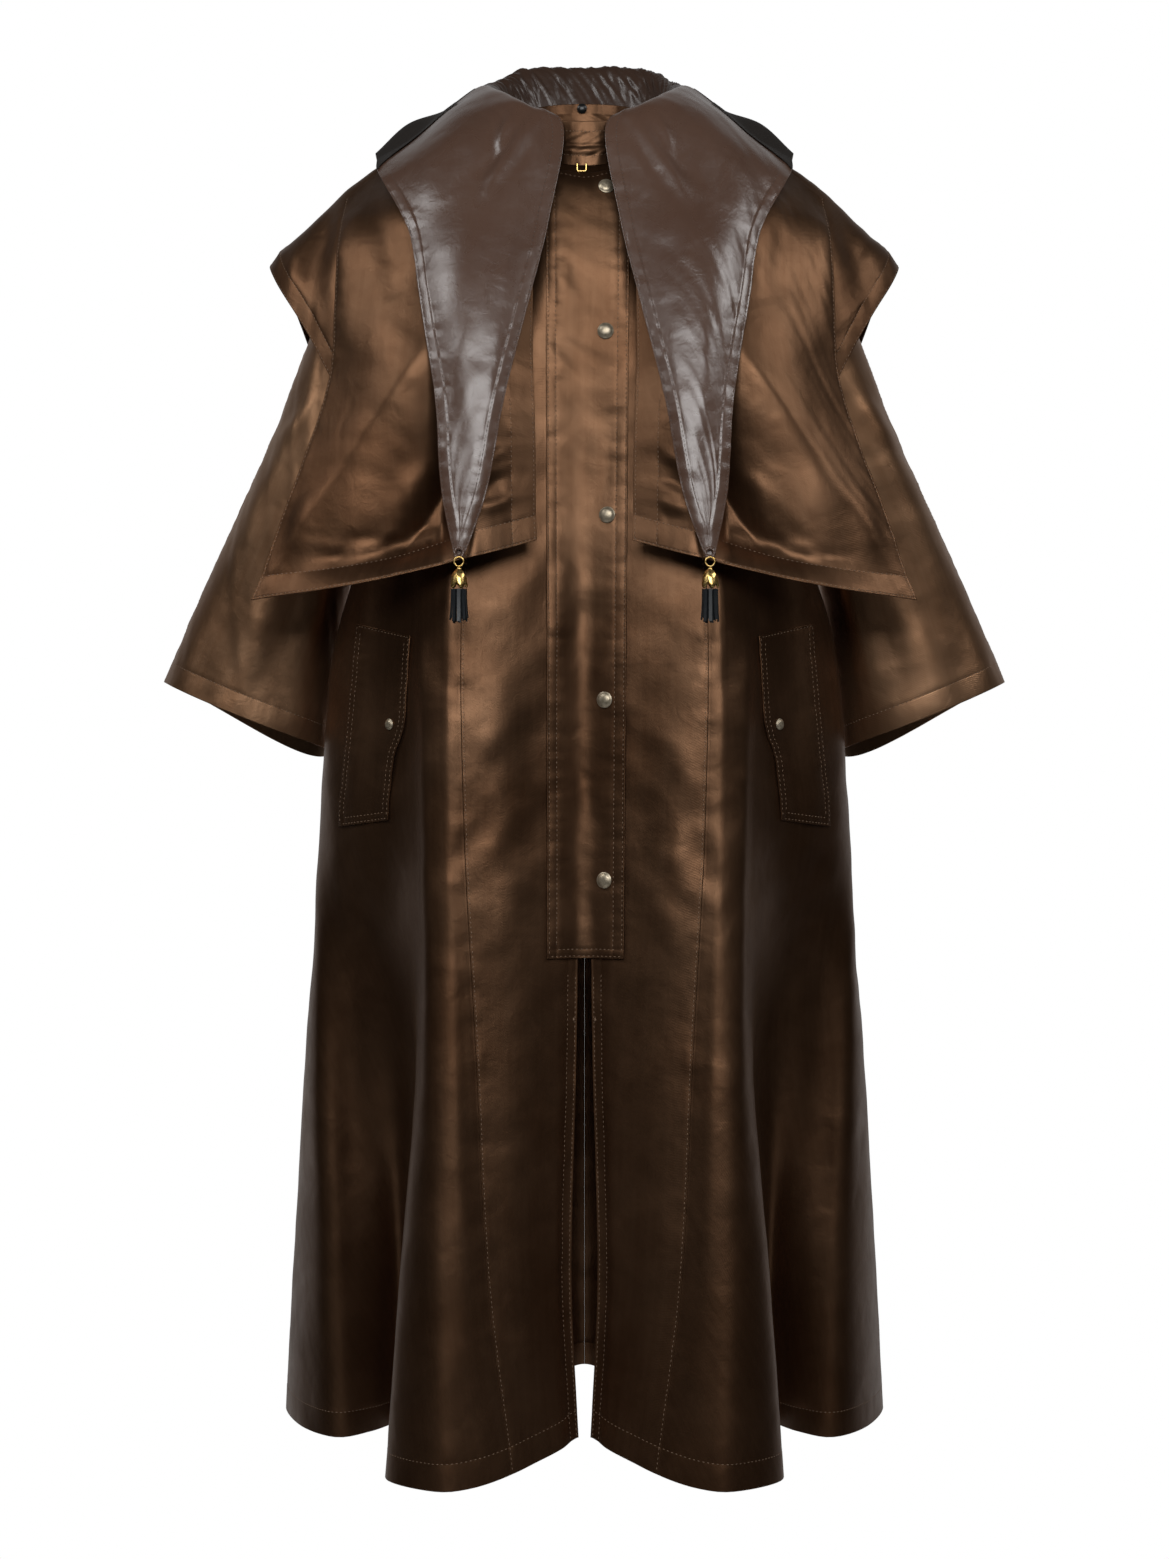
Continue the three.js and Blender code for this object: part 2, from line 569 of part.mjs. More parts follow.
// A domed snap cap on its foot, standing on +Y
function snapGeometry(radius, height) {
  const profile = [[0, 0], [radius, 0], [radius, 0.3 * height], [0.75 * radius, 0.75 * height], [0, height]];
  return new THREE.LatheGeometry(profile.map(([r, y]) => new THREE.Vector2(r, y)), 14);
}

// Puts a mesh on a cloth surface, its own +Y along the surface's outward normal
function placeOn(mesh, surface, s, t, far, flip) {
  const n = normalAt(surface, s, t);
  const p = plus(surface(s, t), n, far);
  const [at, way] = flip ? [mirrored(p), mirrored(n)] : [p, n];
  mesh.position.set(...at);
  mesh.quaternion.setFromUnitVectors(new THREE.Vector3(0, 1, 0), new THREE.Vector3(...way));
}

// x and z of each snap, and how far its foot stands off the placket's own surface
const snapPlaces = [
  [19.8, -35.5, 0.2],
  [19.5, -171, 0.8],
  [21.3, -339, 0.8],
  [19.5, -507, 0.8],
  [19.5, -670, 0.8],
];
snapPlaces.forEach(([x, z, off], k) => {
  const mesh = addMesh(`snap_${k + 1}`, snapGeometry(snapRadius, snapHeight), "antiqueBrass");
  const [s, t] = spotOn(body, x, z, -x / 900, 0.02 - z / 1300);
  placeOn(mesh, body, s, t, onPlacket + off, false);
});

for (const [name, flip] of [["pocket_snap_right", false], ["pocket_snap_left", true]]) {
  const mesh = addMesh(name, snapGeometry(pocketSnapRadius, 2.6), "antiqueBrass");
  const [s, t] = spotOn(body, -176.5, -528.5, 0.36, 0.46);
  placeOn(mesh, body, s, t, 2 * layGap + flapWall, flip);
}

// Bar hook at the neck: a flat square U that opens upwards
function hookGeometry() {
  const outline = [[-5, -3.4], [5, -3.4], [5, 5], [3.2, 5], [3.2, -1.6], [-3.2, -1.6], [-3.2, 5], [-5, 5]];
  const shape = new THREE.Shape(outline.map(([x, y]) => new THREE.Vector2(x, y)));
  return new THREE.ExtrudeGeometry(shape, { depth: 1.6, bevelEnabled: false }).rotateX(Math.PI / 2);
}

const hook = addMesh("collar_hook", hookGeometry(), "gold");
hook.position.set(-2.6, -80.8, -15.3);

// Small snap on the inside of the collar at the back of the neck
const neckSnap = addMesh("neck_snap", snapGeometry(neckSnapRadius, 2.2), "blackPlastic");
neckSnap.position.set(-2.4, 68.4, 74);
neckSnap.rotation.x = Math.PI;

// Tassel at each lapel's end: cloth loop, ring, bell cap and leather strips
const tassel = { x: -111, y: -195, loopZ: -378.4, ringZ: -386.4, capTop: -391.7, capLow: -409.3 };
const strips = { outer: 10, inner: 5, outerRadius: 6.6, innerRadius: 3.1, width: 3.2, thick: 1.1 };
strips.longest = 31;

function capGeometry() {
  const deep = tassel.capTop - tassel.capLow;
  const profile = [[0, 0], [7.6, 0], [7.8, 0.12], [7.4, 0.4], [6, 0.68], [3.6, 0.86], [1.9, 0.9],
    [1.9, 1], [0, 1]];
  return new THREE.LatheGeometry(profile.map(([r, y]) => new THREE.Vector2(r, y * deep)), 16);
}

function asSolid(geometry) {
  const bare = geometry.clone();
  bare.deleteAttribute("normal");
  bare.deleteAttribute("uv");
  const merged = mergeVertices(bare, 1e-4);
  return new wasm.Manifold(
    new wasm.Mesh({
      numProp: 3,
      vertProperties: merged.attributes.position.array,
      triVerts: new Uint32Array(merged.index.array),
    }),
  );
}

function asGeometry(solid) {
  const made = solid.getMesh();
  const geometry = new THREE.BufferGeometry();
  geometry.setAttribute("position", new THREE.BufferAttribute(new Float32Array(made.vertProperties), 3));
  geometry.setIndex(new THREE.BufferAttribute(new Uint32Array(made.triVerts), 1));
  geometry.computeVertexNormals();
  return geometry;
}

// Leather strips hang from a thin head that they are fused into; the longest hang in front
function fringeGeometry() {
  let made = asSolid(new THREE.CylinderGeometry(7.3, 7.3, 2, 16).translate(0, -1, 0));
  const rings = [[strips.outer, strips.outerRadius, 0], [strips.inner, strips.innerRadius, 0.3]];
  for (const [count, radius, turn] of rings) {
    for (let k = 0; k < count; k += 1) {
      const angle = turn + (2 * Math.PI * k) / count;
      const long = strips.longest - 1.6 * ((k * 7) % 3) - (radius > 5 ? 1.2 : 0);
      const box = new THREE.BoxGeometry(strips.width, long - 1, strips.thick);
      box.translate(0, -(long + 1) / 2, radius);
      box.rotateY(angle);
      made = made.add(asSolid(box));
    }
  }
  return asGeometry(made);
}

for (const [side, sign] of [["right", 1], ["left", -1]]) {
  const x = tassel.x * sign;
  const loop = addMesh(`tassel_loop_${side}`, new THREE.TorusGeometry(3.9, 1.5, 6, 14), "satin");
  loop.position.set(x, tassel.y + 2.7, tassel.loopZ);
  loop.rotation.x = Math.PI / 2;
  const ringMesh = addMesh(`tassel_ring_${side}`, new THREE.TorusGeometry(4.1, 0.8, 6, 14), "gold");
  ringMesh.position.set(x, tassel.y, tassel.ringZ);
  ringMesh.rotation.x = Math.PI / 2;
  const cap = addMesh(`tassel_cap_${side}`, capGeometry(), "gold");
  cap.position.set(x, tassel.y, tassel.capLow);
  cap.rotation.x = Math.PI / 2;
  const fringe = addMesh(`tassel_fringe_${side}`, fringeGeometry(), "leather");
  fringe.position.set(x, tassel.y, tassel.capLow - seamGap);
  fringe.rotation.x = Math.PI / 2;
}

export default group;
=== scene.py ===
import math

import bpy
import numpy as np
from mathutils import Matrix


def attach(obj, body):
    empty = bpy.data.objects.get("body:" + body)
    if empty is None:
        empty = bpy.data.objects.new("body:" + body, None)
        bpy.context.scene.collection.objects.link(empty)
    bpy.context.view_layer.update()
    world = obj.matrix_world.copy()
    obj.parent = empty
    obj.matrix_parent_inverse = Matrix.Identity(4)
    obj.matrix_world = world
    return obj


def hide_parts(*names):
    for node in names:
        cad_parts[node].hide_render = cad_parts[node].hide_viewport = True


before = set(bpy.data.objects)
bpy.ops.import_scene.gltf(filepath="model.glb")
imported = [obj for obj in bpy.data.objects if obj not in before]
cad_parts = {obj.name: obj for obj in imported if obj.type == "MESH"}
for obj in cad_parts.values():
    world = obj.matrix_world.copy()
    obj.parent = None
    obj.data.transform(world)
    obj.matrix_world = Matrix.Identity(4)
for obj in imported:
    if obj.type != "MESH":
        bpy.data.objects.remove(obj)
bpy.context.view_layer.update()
print("frame loaded")

# The tables are in millimetres and are the coat's own; meshes are made in metres.
mm = 0.001

# Camera: level, 2.8 m in front of the coat's middle; the picture is 1169 by 1559
view = {"away": 2800.0, "height": -579.0, "step": 0.95, "wide": 1169, "tall": 1559}


def makeCamera():
    # the lens shows the picture's height at the coat's distance
    lens = bpy.data.cameras.new("frontCamera")
    lens.sensor_width = 36
    lens.lens = 36 * view["away"] / (view["tall"] * view["step"])
    camera = bpy.data.objects.new("frontCamera", lens)
    camera.location = (0, -view["away"] * mm, view["height"] * mm)
    camera.rotation_euler = (math.radians(90), 0, 0)
    bpy.context.scene.collection.objects.link(camera)
    bpy.context.scene.camera = camera


makeCamera()


def frontPlace(points):
    # where a point shows in the front picture, in its steps from the left and from the top
    far = view["step"] * (view["away"] + points[..., 1]) / view["away"]
    x = view["wide"] / 2 + points[..., 0] / far
    y = view["tall"] / 2 - (points[..., 2] - view["height"]) / far
    return np.stack([x, y], axis=-1)


def unit(ways):
    # the same directions, each made one long
    return ways / np.linalg.norm(ways, axis=-1, keepdims=True)


def walked(points):
    # distance walked along a line of points
    return np.pad(np.linalg.norm(np.diff(points, axis=0), axis=1).cumsum(), (1, 0))


def turns(count):
    # angles evenly round a circle
    return np.linspace(0, 2 * math.pi, count, endpoint=False)


def paired(s, t):
    # both parameters as grids of one shape
    return np.broadcast_arrays(np.asarray(s, float), np.asarray(t, float))


def cubic(knots, values, at, own=False):
    # smooth cubic through values at knots: each slope is the mean of its two neighbours' rises,
    # weighted by the other's span; values[q] belongs to query q when own is true
    knots = np.asarray(knots, float)
    if not own:
        values = np.asarray(values, float)[None]
    k = np.clip(np.searchsorted(knots, at, side="right") - 1, 0, len(knots) - 2)
    step = np.diff(knots)[None, :, None]
    rise = np.diff(values, axis=1) / step
    inner = (rise[:, :-1] * step[:, 1:] + rise[:, 1:] * step[:, :-1]) / (step[:, 1:] + step[:, :-1])
    slope = np.concatenate([rise[:, :1], inner, rise[:, -1:]], axis=1)
    q = np.arange(len(at)) if own else np.zeros(len(at), int)
    span = (knots[k + 1] - knots[k])[:, None]
    u = ((at - knots[k]) / span[:, 0])[:, None]
    return (
        (2 * u**3 - 3 * u**2 + 1) * values[q, k]
        + (u**3 - 2 * u**2 + u) * span * slope[q, k]
        + (3 * u**2 - 2 * u**3) * values[q, k + 1]
        + (u**3 - u**2) * span * slope[q, k + 1]
    )


def ribbed(across, down, ribs):
    # a surface of two parameters through ribs: down each rib first, then across from rib to rib
    ribs = np.asarray(ribs, float)
    count = len(across)
    flat = np.moveaxis(ribs, 1, 0).reshape(len(down), count * 3)

    def surface(s, t):
        s, t = paired(s, t)
        rows = cubic(down, flat, t.ravel()).reshape(-1, count, 3)
        return cubic(across, rows, s.ravel(), own=True).reshape(*s.shape, 3)

    return surface


def normalsOf(surface, s, t, e=1e-3):
    # across the surface: the cross product of its two directions, made one long
    alongS = surface(s + e, t) - surface(s - e, t)
    alongT = surface(s, np.minimum(t + e, 1)) - surface(s, np.maximum(t - e, 0))
    return unit(np.cross(alongS, alongT))


def spotOn(surface, x, z, s, t):
    # place on the surface with a given x and z, by small corrected steps
    e = 1e-4
    for _ in range(60):
        p, a, b = surface(np.array([s, s + e, s]), np.array([t, t, t + e]))
        ds, dt = (a - p) / e, (b - p) / e
        det = ds[0] * dt[2] - dt[0] * ds[2]
        missX, missZ = x - p[0], z - p[2]
        s += 0.6 * (missX * dt[2] - missZ * dt[0]) / det
        t += 0.6 * (missZ * ds[0] - missX * ds[2]) / det
    return s, t


def wander(x, seed, size=1.0):
    # an uneven wave of x: five sines whose lengths and phases come from the seed, about -1 to 1
    rng = np.random.default_rng(seed)
    out = 0
    for k in range(5):
        turn = x * rng.uniform(0.6, 2.6) * (1 + 0.5 * k) / size
        out = out + np.sin(turn + rng.uniform(0, 7)) / (1 + 0.4 * k)
    return out / 3.2


def ramp(x, low, high):
    # nothing below low, one above high, and an even rise between them
    return np.clip((x - low) / (high - low), 0, 1)


def softStep(x, low, high):
    # the same with a smooth start and end
    u = ramp(x, low, high)
    return u * u * (3 - 2 * u)


def bell(x, width):
    # one in the middle, falling off to both sides
    return np.exp(-((x / width) ** 2))


def mirrored(points):
    # the same place on the other side of the coat
    return points * np.array([-1.0, 1.0, 1.0])


def creaseField(places, rows):
    # sum of soft troughs and ridges: along each row's bent line the depth swells and fades, and across it
    # falls off like a bell; a shallow shoulder of the other sign lies on one side
    out = np.zeros(places.shape[:-1])
    for x0, y0, x1, y1, depth, width, bend in rows:
        a, b = np.array([x0, y0], float), np.array([x1, y1], float)
        long = np.linalg.norm(b - a)
        way = (b - a) / long
        across = np.array([-way[1], way[0]])
        u = ((places - a) @ way) / long
        held = np.clip(u, 0, 1)
        d = (places - a) @ across - bend * 4 * held * (1 - held)
        past = np.maximum(np.abs(u - 0.5) - 0.5, 0) * long
        fade = np.sin(np.pi * (0.08 + 0.84 * held)) ** 0.7 * bell(past, width)
        out += depth * fade * (bell(d, width) - 0.45 * bell(d - 1.5 * width, 1.2 * width))
    return out


def foldsOf(points, normals, ahead, behind, turned=(0.3, 0.0), shown=1):
    # folds seen from the front where the cloth faces forwards, and those of the back where it faces back
    front = np.clip(turned[0] - normals[..., 1], 0, 1) * shown
    back = np.clip(normals[..., 1] - turned[1], 0, 1)
    return front * creaseField(frontPlace(points), ahead) + back * creaseField(points[..., [0, 2]], behind)


def makeMesh(name, points, faces, uv=None, smooth=True):
    mesh = bpy.data.meshes.new(name)
    faces = np.asarray(faces, np.int32)
    mesh.vertices.add(len(points))
    mesh.vertices.foreach_set("co", (np.asarray(points) * mm).astype(np.float32).ravel())
    mesh.loops.add(faces.size)
    mesh.loops.foreach_set("vertex_index", faces.ravel())
    mesh.polygons.add(len(faces))
    mesh.polygons.foreach_set("loop_start", np.arange(0, faces.size, faces.shape[1], dtype=np.int32))
    mesh.polygons.foreach_set("loop_total", np.full(len(faces), faces.shape[1], np.int32))
    mesh.polygons.foreach_set("use_smooth", np.full(len(faces), smooth))
    if uv is not None:
        layer = mesh.uv_layers.new(name="cloth")
        layer.data.foreach_set("uv", (uv[faces.ravel()] * mm).astype(np.float32).ravel())
    mesh.update(calc_edges=True)
    mesh.validate()
    made = bpy.data.objects.new(name, mesh)
    bpy.context.scene.collection.objects.link(made)
    return made


# The edges of a grid, and the one that each becomes in the mirrored piece
otherEdge = {"first": "last", "last": "first", "top": "top", "bottom": "bottom"}


def lengths(points):
    # distance walked across each row and down each column of a grid of points
    across = np.linalg.norm(np.diff(points, axis=1), axis=2).cumsum(axis=1)
    down = np.linalg.norm(np.diff(points, axis=0), axis=2).cumsum(axis=0)
    return np.pad(across, ((0, 0), (1, 0))), np.pad(down, ((1, 0), (0, 0)))


def edgeDistance(across, down, edge):
    return {
        "first": across,
        "last": across[:, -1:] - across,
        "top": down,
        "bottom": down[-1:] - down,
    }[edge]


# Beside a stitch line: a groove, and puckers that die away from it, in mm
seamForm = {"deep": 0.20, "wide": 1.4, "pucker": 0.36, "reach": 9.0, "short": 5.5, "long": 13}


def seamRelief(points, across, down, lines, seed):
    # each stitch line is a groove, and beside it the cloth puckers in short uneven waves across the line;
    # the waves of an upright seam follow the height, so both of its sides wave alike
    out = 0
    for edge, inset in lines:
        d = edgeDistance(across, down, edge) - inset
        along = -points[..., 2] if edge in ("first", "last") else across
        turn = seed + int(inset)
        waves = wander(along, turn, seamForm["short"]) + wander(along, turn + 40, seamForm["long"])
        out = out - seamForm["deep"] * bell(d, seamForm["wide"])
        out = out + seamForm["pucker"] * waves * bell(d, seamForm["reach"])
    return out


allStitches = []


def sewAlong(info, edge, inset, start=0.0, stop=0.0, pitch=4.4, look="thread"):
    # stitches along a line at one distance from an edge: the line is read off the finished grid
    points, normals = info["outer"], info["normals"]
    across, down = info["across"], info["down"]
    if edge in ("first", "last"):
        points, normals = points.swapaxes(0, 1), normals.swapaxes(0, 1)
        across, down = down.T, across.T
    distance = down if edge in ("first", "top") else down[-1:] - down
    rows = np.arange(len(points), dtype=float)
    at = np.array([np.interp(inset, *order(distance[:, i], rows)) for i in range(points.shape[1])])
    k = np.clip(at.astype(int), 0, len(points) - 2)
    u = (at - k)[:, None]
    i = np.arange(points.shape[1])
    line = points[k, i] * (1 - u) + points[k + 1, i] * u
    facing = normals[k, i] * (1 - u) + normals[k + 1, i] * u
    gone = walked(line)
    places = np.arange(start + pitch / 2, gone[-1] - stop - pitch / 2, pitch)
    spot = np.stack([np.interp(places, gone, line[:, c]) for c in range(3)], axis=1)
    ahead = np.stack([np.interp(places + 0.5, gone, line[:, c]) for c in range(3)], axis=1)
    up = np.stack([np.interp(places, gone, facing[:, c]) for c in range(3)], axis=1)
    allStitches.append((look, spot, ahead - spot, up, pitch))


def tackStar(info, x, z):
    # long stitches that cross at the grid's nearest point
    outer, normals = info["outer"], info["normals"]
    i = np.unravel_index(np.hypot(outer[..., 0] - x, outer[..., 2] - z).argmin(), outer.shape[:2])
    for deg in (5, 48, 92, 137):
        way = np.array([[math.cos(math.radians(deg)), 0, math.sin(math.radians(deg))]])
        allStitches.append(("thread", outer[i][None], way, normals[i][None], 9.0))


def order(distance, rows):
    # np.interp needs rising distances
    return (distance, rows) if distance[-1] > distance[0] else (distance[::-1], rows[::-1])


# Rows and columns beside edges and stitch lines, in mm from them
edgeSteps = [0.6, 1.5]
lineSteps = [-1.6, -0.7, 0, 0.7, 1.6]
closest = 0.45


def nearPlaces(insets):
    # distances from an edge: a few close to the edge itself and a few round each stitch line
    places = [0.0]
    for place in sorted(edgeSteps + [inset + step for inset in insets for step in lineSteps]):
        if place - places[-1] > closest:
            places.append(place)
    return np.array(places)


def lineUp(total, low, high, count):
    # places over each width: the near ones from both ends, pressed together where the width is small,
    # and even ones between them
    share = np.minimum(1, 0.42 * total / max(low[-1], high[-1]))[:, None]
    left, right = low * share, total[:, None] - (high * share)[:, ::-1]
    between = left[:, -1:] + (right[:, :1] - left[:, -1:]) * np.linspace(0, 1, count)[1:-1]
    return np.concatenate([left, between, right], axis=1)


def fitted(surface, s, t, lines):
    # the grid's rows and columns moved along the surface so that they follow its edges and stitch lines
    near = {edge: nearPlaces([inset for e, inset in lines if e == edge]) for edge in otherEdge}
    across = lengths(surface(s, t))[0]
    wanted = lineUp(across[:, -1], near["first"], near["last"], s.shape[1])
    s, t = [np.array([np.interp(w, a, v) for w, a, v in zip(wanted, across, grid)]) for grid in (s, t)]
    down = lengths(surface(s, t))[1].T
    wanted = lineUp(down[:, -1], near["top"], near["bottom"], s.shape[0])
    return [np.array([np.interp(w, a, v) for w, a, v in zip(wanted, down, grid.T)]).T for grid in (s, t)]


# The shell grows a little thinner towards its edges, in mm
edgeRoll = {"thinner": 0.3, "within": 1.5}


def clothShell(name, surface, s, t, flip=False, look="satin", wall=1.2, lift=0.0, outward=1, relief=None,
               lines=(), seams=(), kept=None, seed=1):
    # a thin closed shell: outer points are the surface moved along its normals by lift and relief, inner
    # points one wall inside, with a rim between them
    s, t = fitted(surface, *np.broadcast_arrays(s, t), lines)
    base = surface(s, t)
    normals = normalsOf(surface, s, t) * outward
    if flip:
        base, normals = mirrored(base)[:, ::-1], mirrored(normals)[:, ::-1]
        lines = [(otherEdge[edge], inset) for edge, inset in lines]
        seams = [otherEdge[edge] for edge in seams]
    base = base + normals * lift
    across, down = lengths(base)
    raised = seamRelief(base, across, down, lines, seed)
    if relief is not None:
        raised = raised + relief(base, normals, across, down, flip)
    near = np.minimum.reduce([edgeDistance(across, down, edge) for edge in otherEdge])
    thin = wall - edgeRoll["thinner"] * bell(near, edgeRoll["within"])
    outer = base + normals * np.broadcast_to(raised, near.shape)[..., None]
    inner = outer - normals * thin[..., None]
    if kept is not None:
        outer, inner = kept(outer), kept(inner)
    for grid in (outer, inner):
        for edge in seams:
            pullIn(grid, edge)
    rows, cols = outer.shape[:2]
    index = np.arange(rows * cols).reshape(rows, cols)
    front = np.stack([index[:-1, :-1], index[1:, :-1], index[1:, 1:], index[:-1, 1:]], axis=-1)
    front = front.reshape(-1, 4)
    half = rows * cols
    rim = np.concatenate([index[0, :-1], index[:-1, -1], index[-1, :0:-1], index[:0:-1, 0]])
    nextRim = np.roll(rim, -1)
    side = np.stack([rim, nextRim, nextRim + half, rim + half], axis=1)
    faces = np.concatenate([front, front[:, [0, 3, 2, 1]] + half, side])
    flatPoints = outer.reshape(-1, 3)
    a, b, _, d = flatPoints[front[len(front) // 2]]
    if np.cross(b - a, d - a) @ normals.reshape(-1, 3)[front[len(front) // 2][0]] < 0:
        faces = faces[:, ::-1]
    uv = np.stack([across.ravel(), -down.ravel()], axis=1)
    points = np.concatenate([flatPoints, inner.reshape(-1, 3)])
    made = makeMesh(name + "_cloth", points, faces, np.concatenate([uv, uv]))
    made.data.materials.append(looks[look])
    cells = np.cross(base[1:, :-1] - base[:-1, :-1], base[:-1, 1:] - base[:-1, :-1])
    return {"object": made, "outer": outer, "normals": normals, "across": across, "down": down,
            "area": np.linalg.norm(cells, axis=2).sum()}


def addCloth(name, surface, s, t, flip=False, slot="satin", held="draped", restsOn=(), sewn=(),
             thread="thread", pitch=4.4, replaced=True, **shell):
    # one piece of cloth: its shell, what it stands for, and its stitches by edge, inset, start and stop
    info = clothShell(name, surface, s, t, flip, **shell)
    made = info["object"]
    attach(made, "coat")
    if replaced:
        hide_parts(name)
    for edge, inset, start, stop in sewn:
        sewAlong(info, otherEdge[edge] if flip else edge, inset, start, stop, pitch, thread)
    return info


def addPair(name, surface, s, t, restsOn=(), seed=1, seedStep=0, **facts):
    # the wearer's right one as the tables give it, and the left one mirrored
    made = []
    for side, flip in (("right", False), ("left", True)):
        made.append(addCloth(f"{name}_{side}", surface, s, t, flip, seed=seed + seedStep * flip,
                             restsOn=[rest.format(side) for rest in restsOn], **facts))
    return made


def pullIn(grid, edge):
    # the row or column on a seam moves in by 0.02 mm, so that two pieces meet without crossing
    views = {"first": (grid[:, 0], grid[:, 1]), "last": (grid[:, -1], grid[:, -2]),
             "top": (grid[0], grid[1]), "bottom": (grid[-1], grid[-2])}
    edgeRow, nextRow = views[edge]
    edgeRow += unit(nextRow - edgeRow) * 0.02


def dense(knots, each):
    # the knots with more steps put evenly between them
    parts = [np.linspace(a, b, each, endpoint=False) for a, b in zip(knots[:-1], knots[1:])]
    return np.append(np.concatenate(parts), knots[-1])


def evenGrid(low, high, cols, rows):
    # even places across from low to high, and down from top to bottom
    return np.linspace(low, high, cols)[None, :], np.linspace(0, 1, rows)[:, None]


def evenly(surface, s, tFrom, tTo, count):
    # values of t that stand at even distances down the surface at one s
    fine = np.linspace(tFrom, tTo, 400)
    gone = walked(surface(np.full(400, s), fine))
    return np.interp(np.linspace(0, gone[-1], count), gone, fine)


# Materials
def newMaterial(name):
    material = bpy.data.materials.new(name)
    material.use_nodes = True
    tree = material.node_tree
    tree.nodes.clear()
    shader = tree.nodes.new("ShaderNodeBsdfPrincipled")
    out = tree.nodes.new("ShaderNodeOutputMaterial")
    tree.links.new(shader.outputs["BSDF"], out.inputs["Surface"])
    return material, tree, shader


def addNode(tree, kind, settings=None, **inputs):
    made = tree.nodes.new("ShaderNode" + kind)
    for key, value in (settings or {}).items():
        setattr(made, key, value)
    for key, value in inputs.items():
        socket = made.inputs[key.replace("_", " ")]
        if isinstance(value, bpy.types.NodeSocket):
            tree.links.new(value, socket)
        else:
            socket.default_value = value
    return made


def noiseOf(tree, coord, scale, detail=3.0, rough=0.5, distortion=0.0):
    made = addNode(tree, "TexNoise", Vector=coord, Scale=scale, Detail=detail, Roughness=rough,
                   Distortion=distortion)
    return made.outputs["Fac"]


def rangeOf(tree, value, low, high, toLow, toHigh):
    # the value carried over evenly from one range to another
    made = addNode(tree, "MapRange", Value=value, From_Min=low, From_Max=high, To_Min=toLow, To_Max=toHigh)
    return made.outputs["Result"]


def bumpOf(tree, height, distance, before=None):
    made = addNode(tree, "Bump", Strength=1.0, Distance=distance, Height=height)
    if before is not None:
        tree.links.new(before, made.inputs["Normal"])
    return made.outputs["Normal"]


def blendOf(tree, factor, low, high):
    # a colour between low and high
    made = addNode(tree, "Mix", {"data_type": "RGBA"})
    tree.links.new(factor, made.inputs[0])
    made.inputs[6].default_value = (*low, 1)
    made.inputs[7].default_value = (*high, 1)
    return made.outputs[2]


def coloured(tree, shader, value, low, high, facts):
    # the base colour goes from deep to lit while the value goes from low to high
    tone = rangeOf(tree, value, low, high, 0.0, 1.0)
    tree.links.new(blendOf(tree, tone, facts["deep"], facts["lit"]), shader.inputs["Base Color"])


def roughened(tree, shader, value, facts):
    tree.links.new(rangeOf(tree, value, 0.3, 0.7, *facts["rough"]), shader.inputs["Roughness"])


# Cloths: colours, and how deep each layer of bumps is in metres
satin = {
    "deep": (0.126, 0.060, 0.029), "lit": (0.186, 0.100, 0.054), "rough": (0.37, 0.46), "metal": 0.90,
    "crumple": 0.0036, "ripple": 0.0009, "crinkle": 0.00018, "grain": 0.00003, "sheen": 0.03, "gloss": 0.5,
    "coat": 0.0,
}
laminate = {
    "deep": (0.112, 0.059, 0.039), "lit": (0.142, 0.079, 0.054), "rough": (0.24, 0.33), "metal": 0.0,
    "crumple": 0.0030, "ripple": 0.0015, "crinkle": 0.00026, "grain": 0.00002, "sheen": 0.0, "gloss": 0.95,
    "coat": 0.22,
}
# painted light: the sleeves wear the coat's own satin with its colour painted over twice as light, standing in
# for light that falls short on the sleeves
sleeveSatinPaintedLight = satin | {"deep": (0.300, 0.156, 0.080), "lit": (0.420, 0.245, 0.140)}
# painted shade: the hood's gathered roll wears the lapels' laminate with its colour painted to about half its
# brightness, standing in for the shade among its gathers
hoodRollPaintedShade = laminate | {
    "deep": (0.050, 0.028, 0.019), "lit": (0.070, 0.040, 0.028), "rough": (0.28, 0.38), "crinkle": 0.0004,
    "ripple": 0.0018, "gloss": 0.6, "coat": 0.05,
}
# Scale, detail, roughness and distortion of each layer of noise
clothNoise = {
    "patches": (6.0, 4.0, 0.55, 0.4), "worn": (22.0, 5.0, 0.6, 0.8), "crumple": (12.0, 0.6, 0.4, 0.3),
    "ripple": (31.0, 1.0, 0.45, 0.5), "crinkle": (90.0, 3.0, 0.6, 1.2), "grain": (1500.0, 1.0),
    "slub": (1.0, 3.0, 0.6),
}
weave = {"stretch": (160.0, 9.0, 1.0), "scale": 420.0, "share": 0.35}


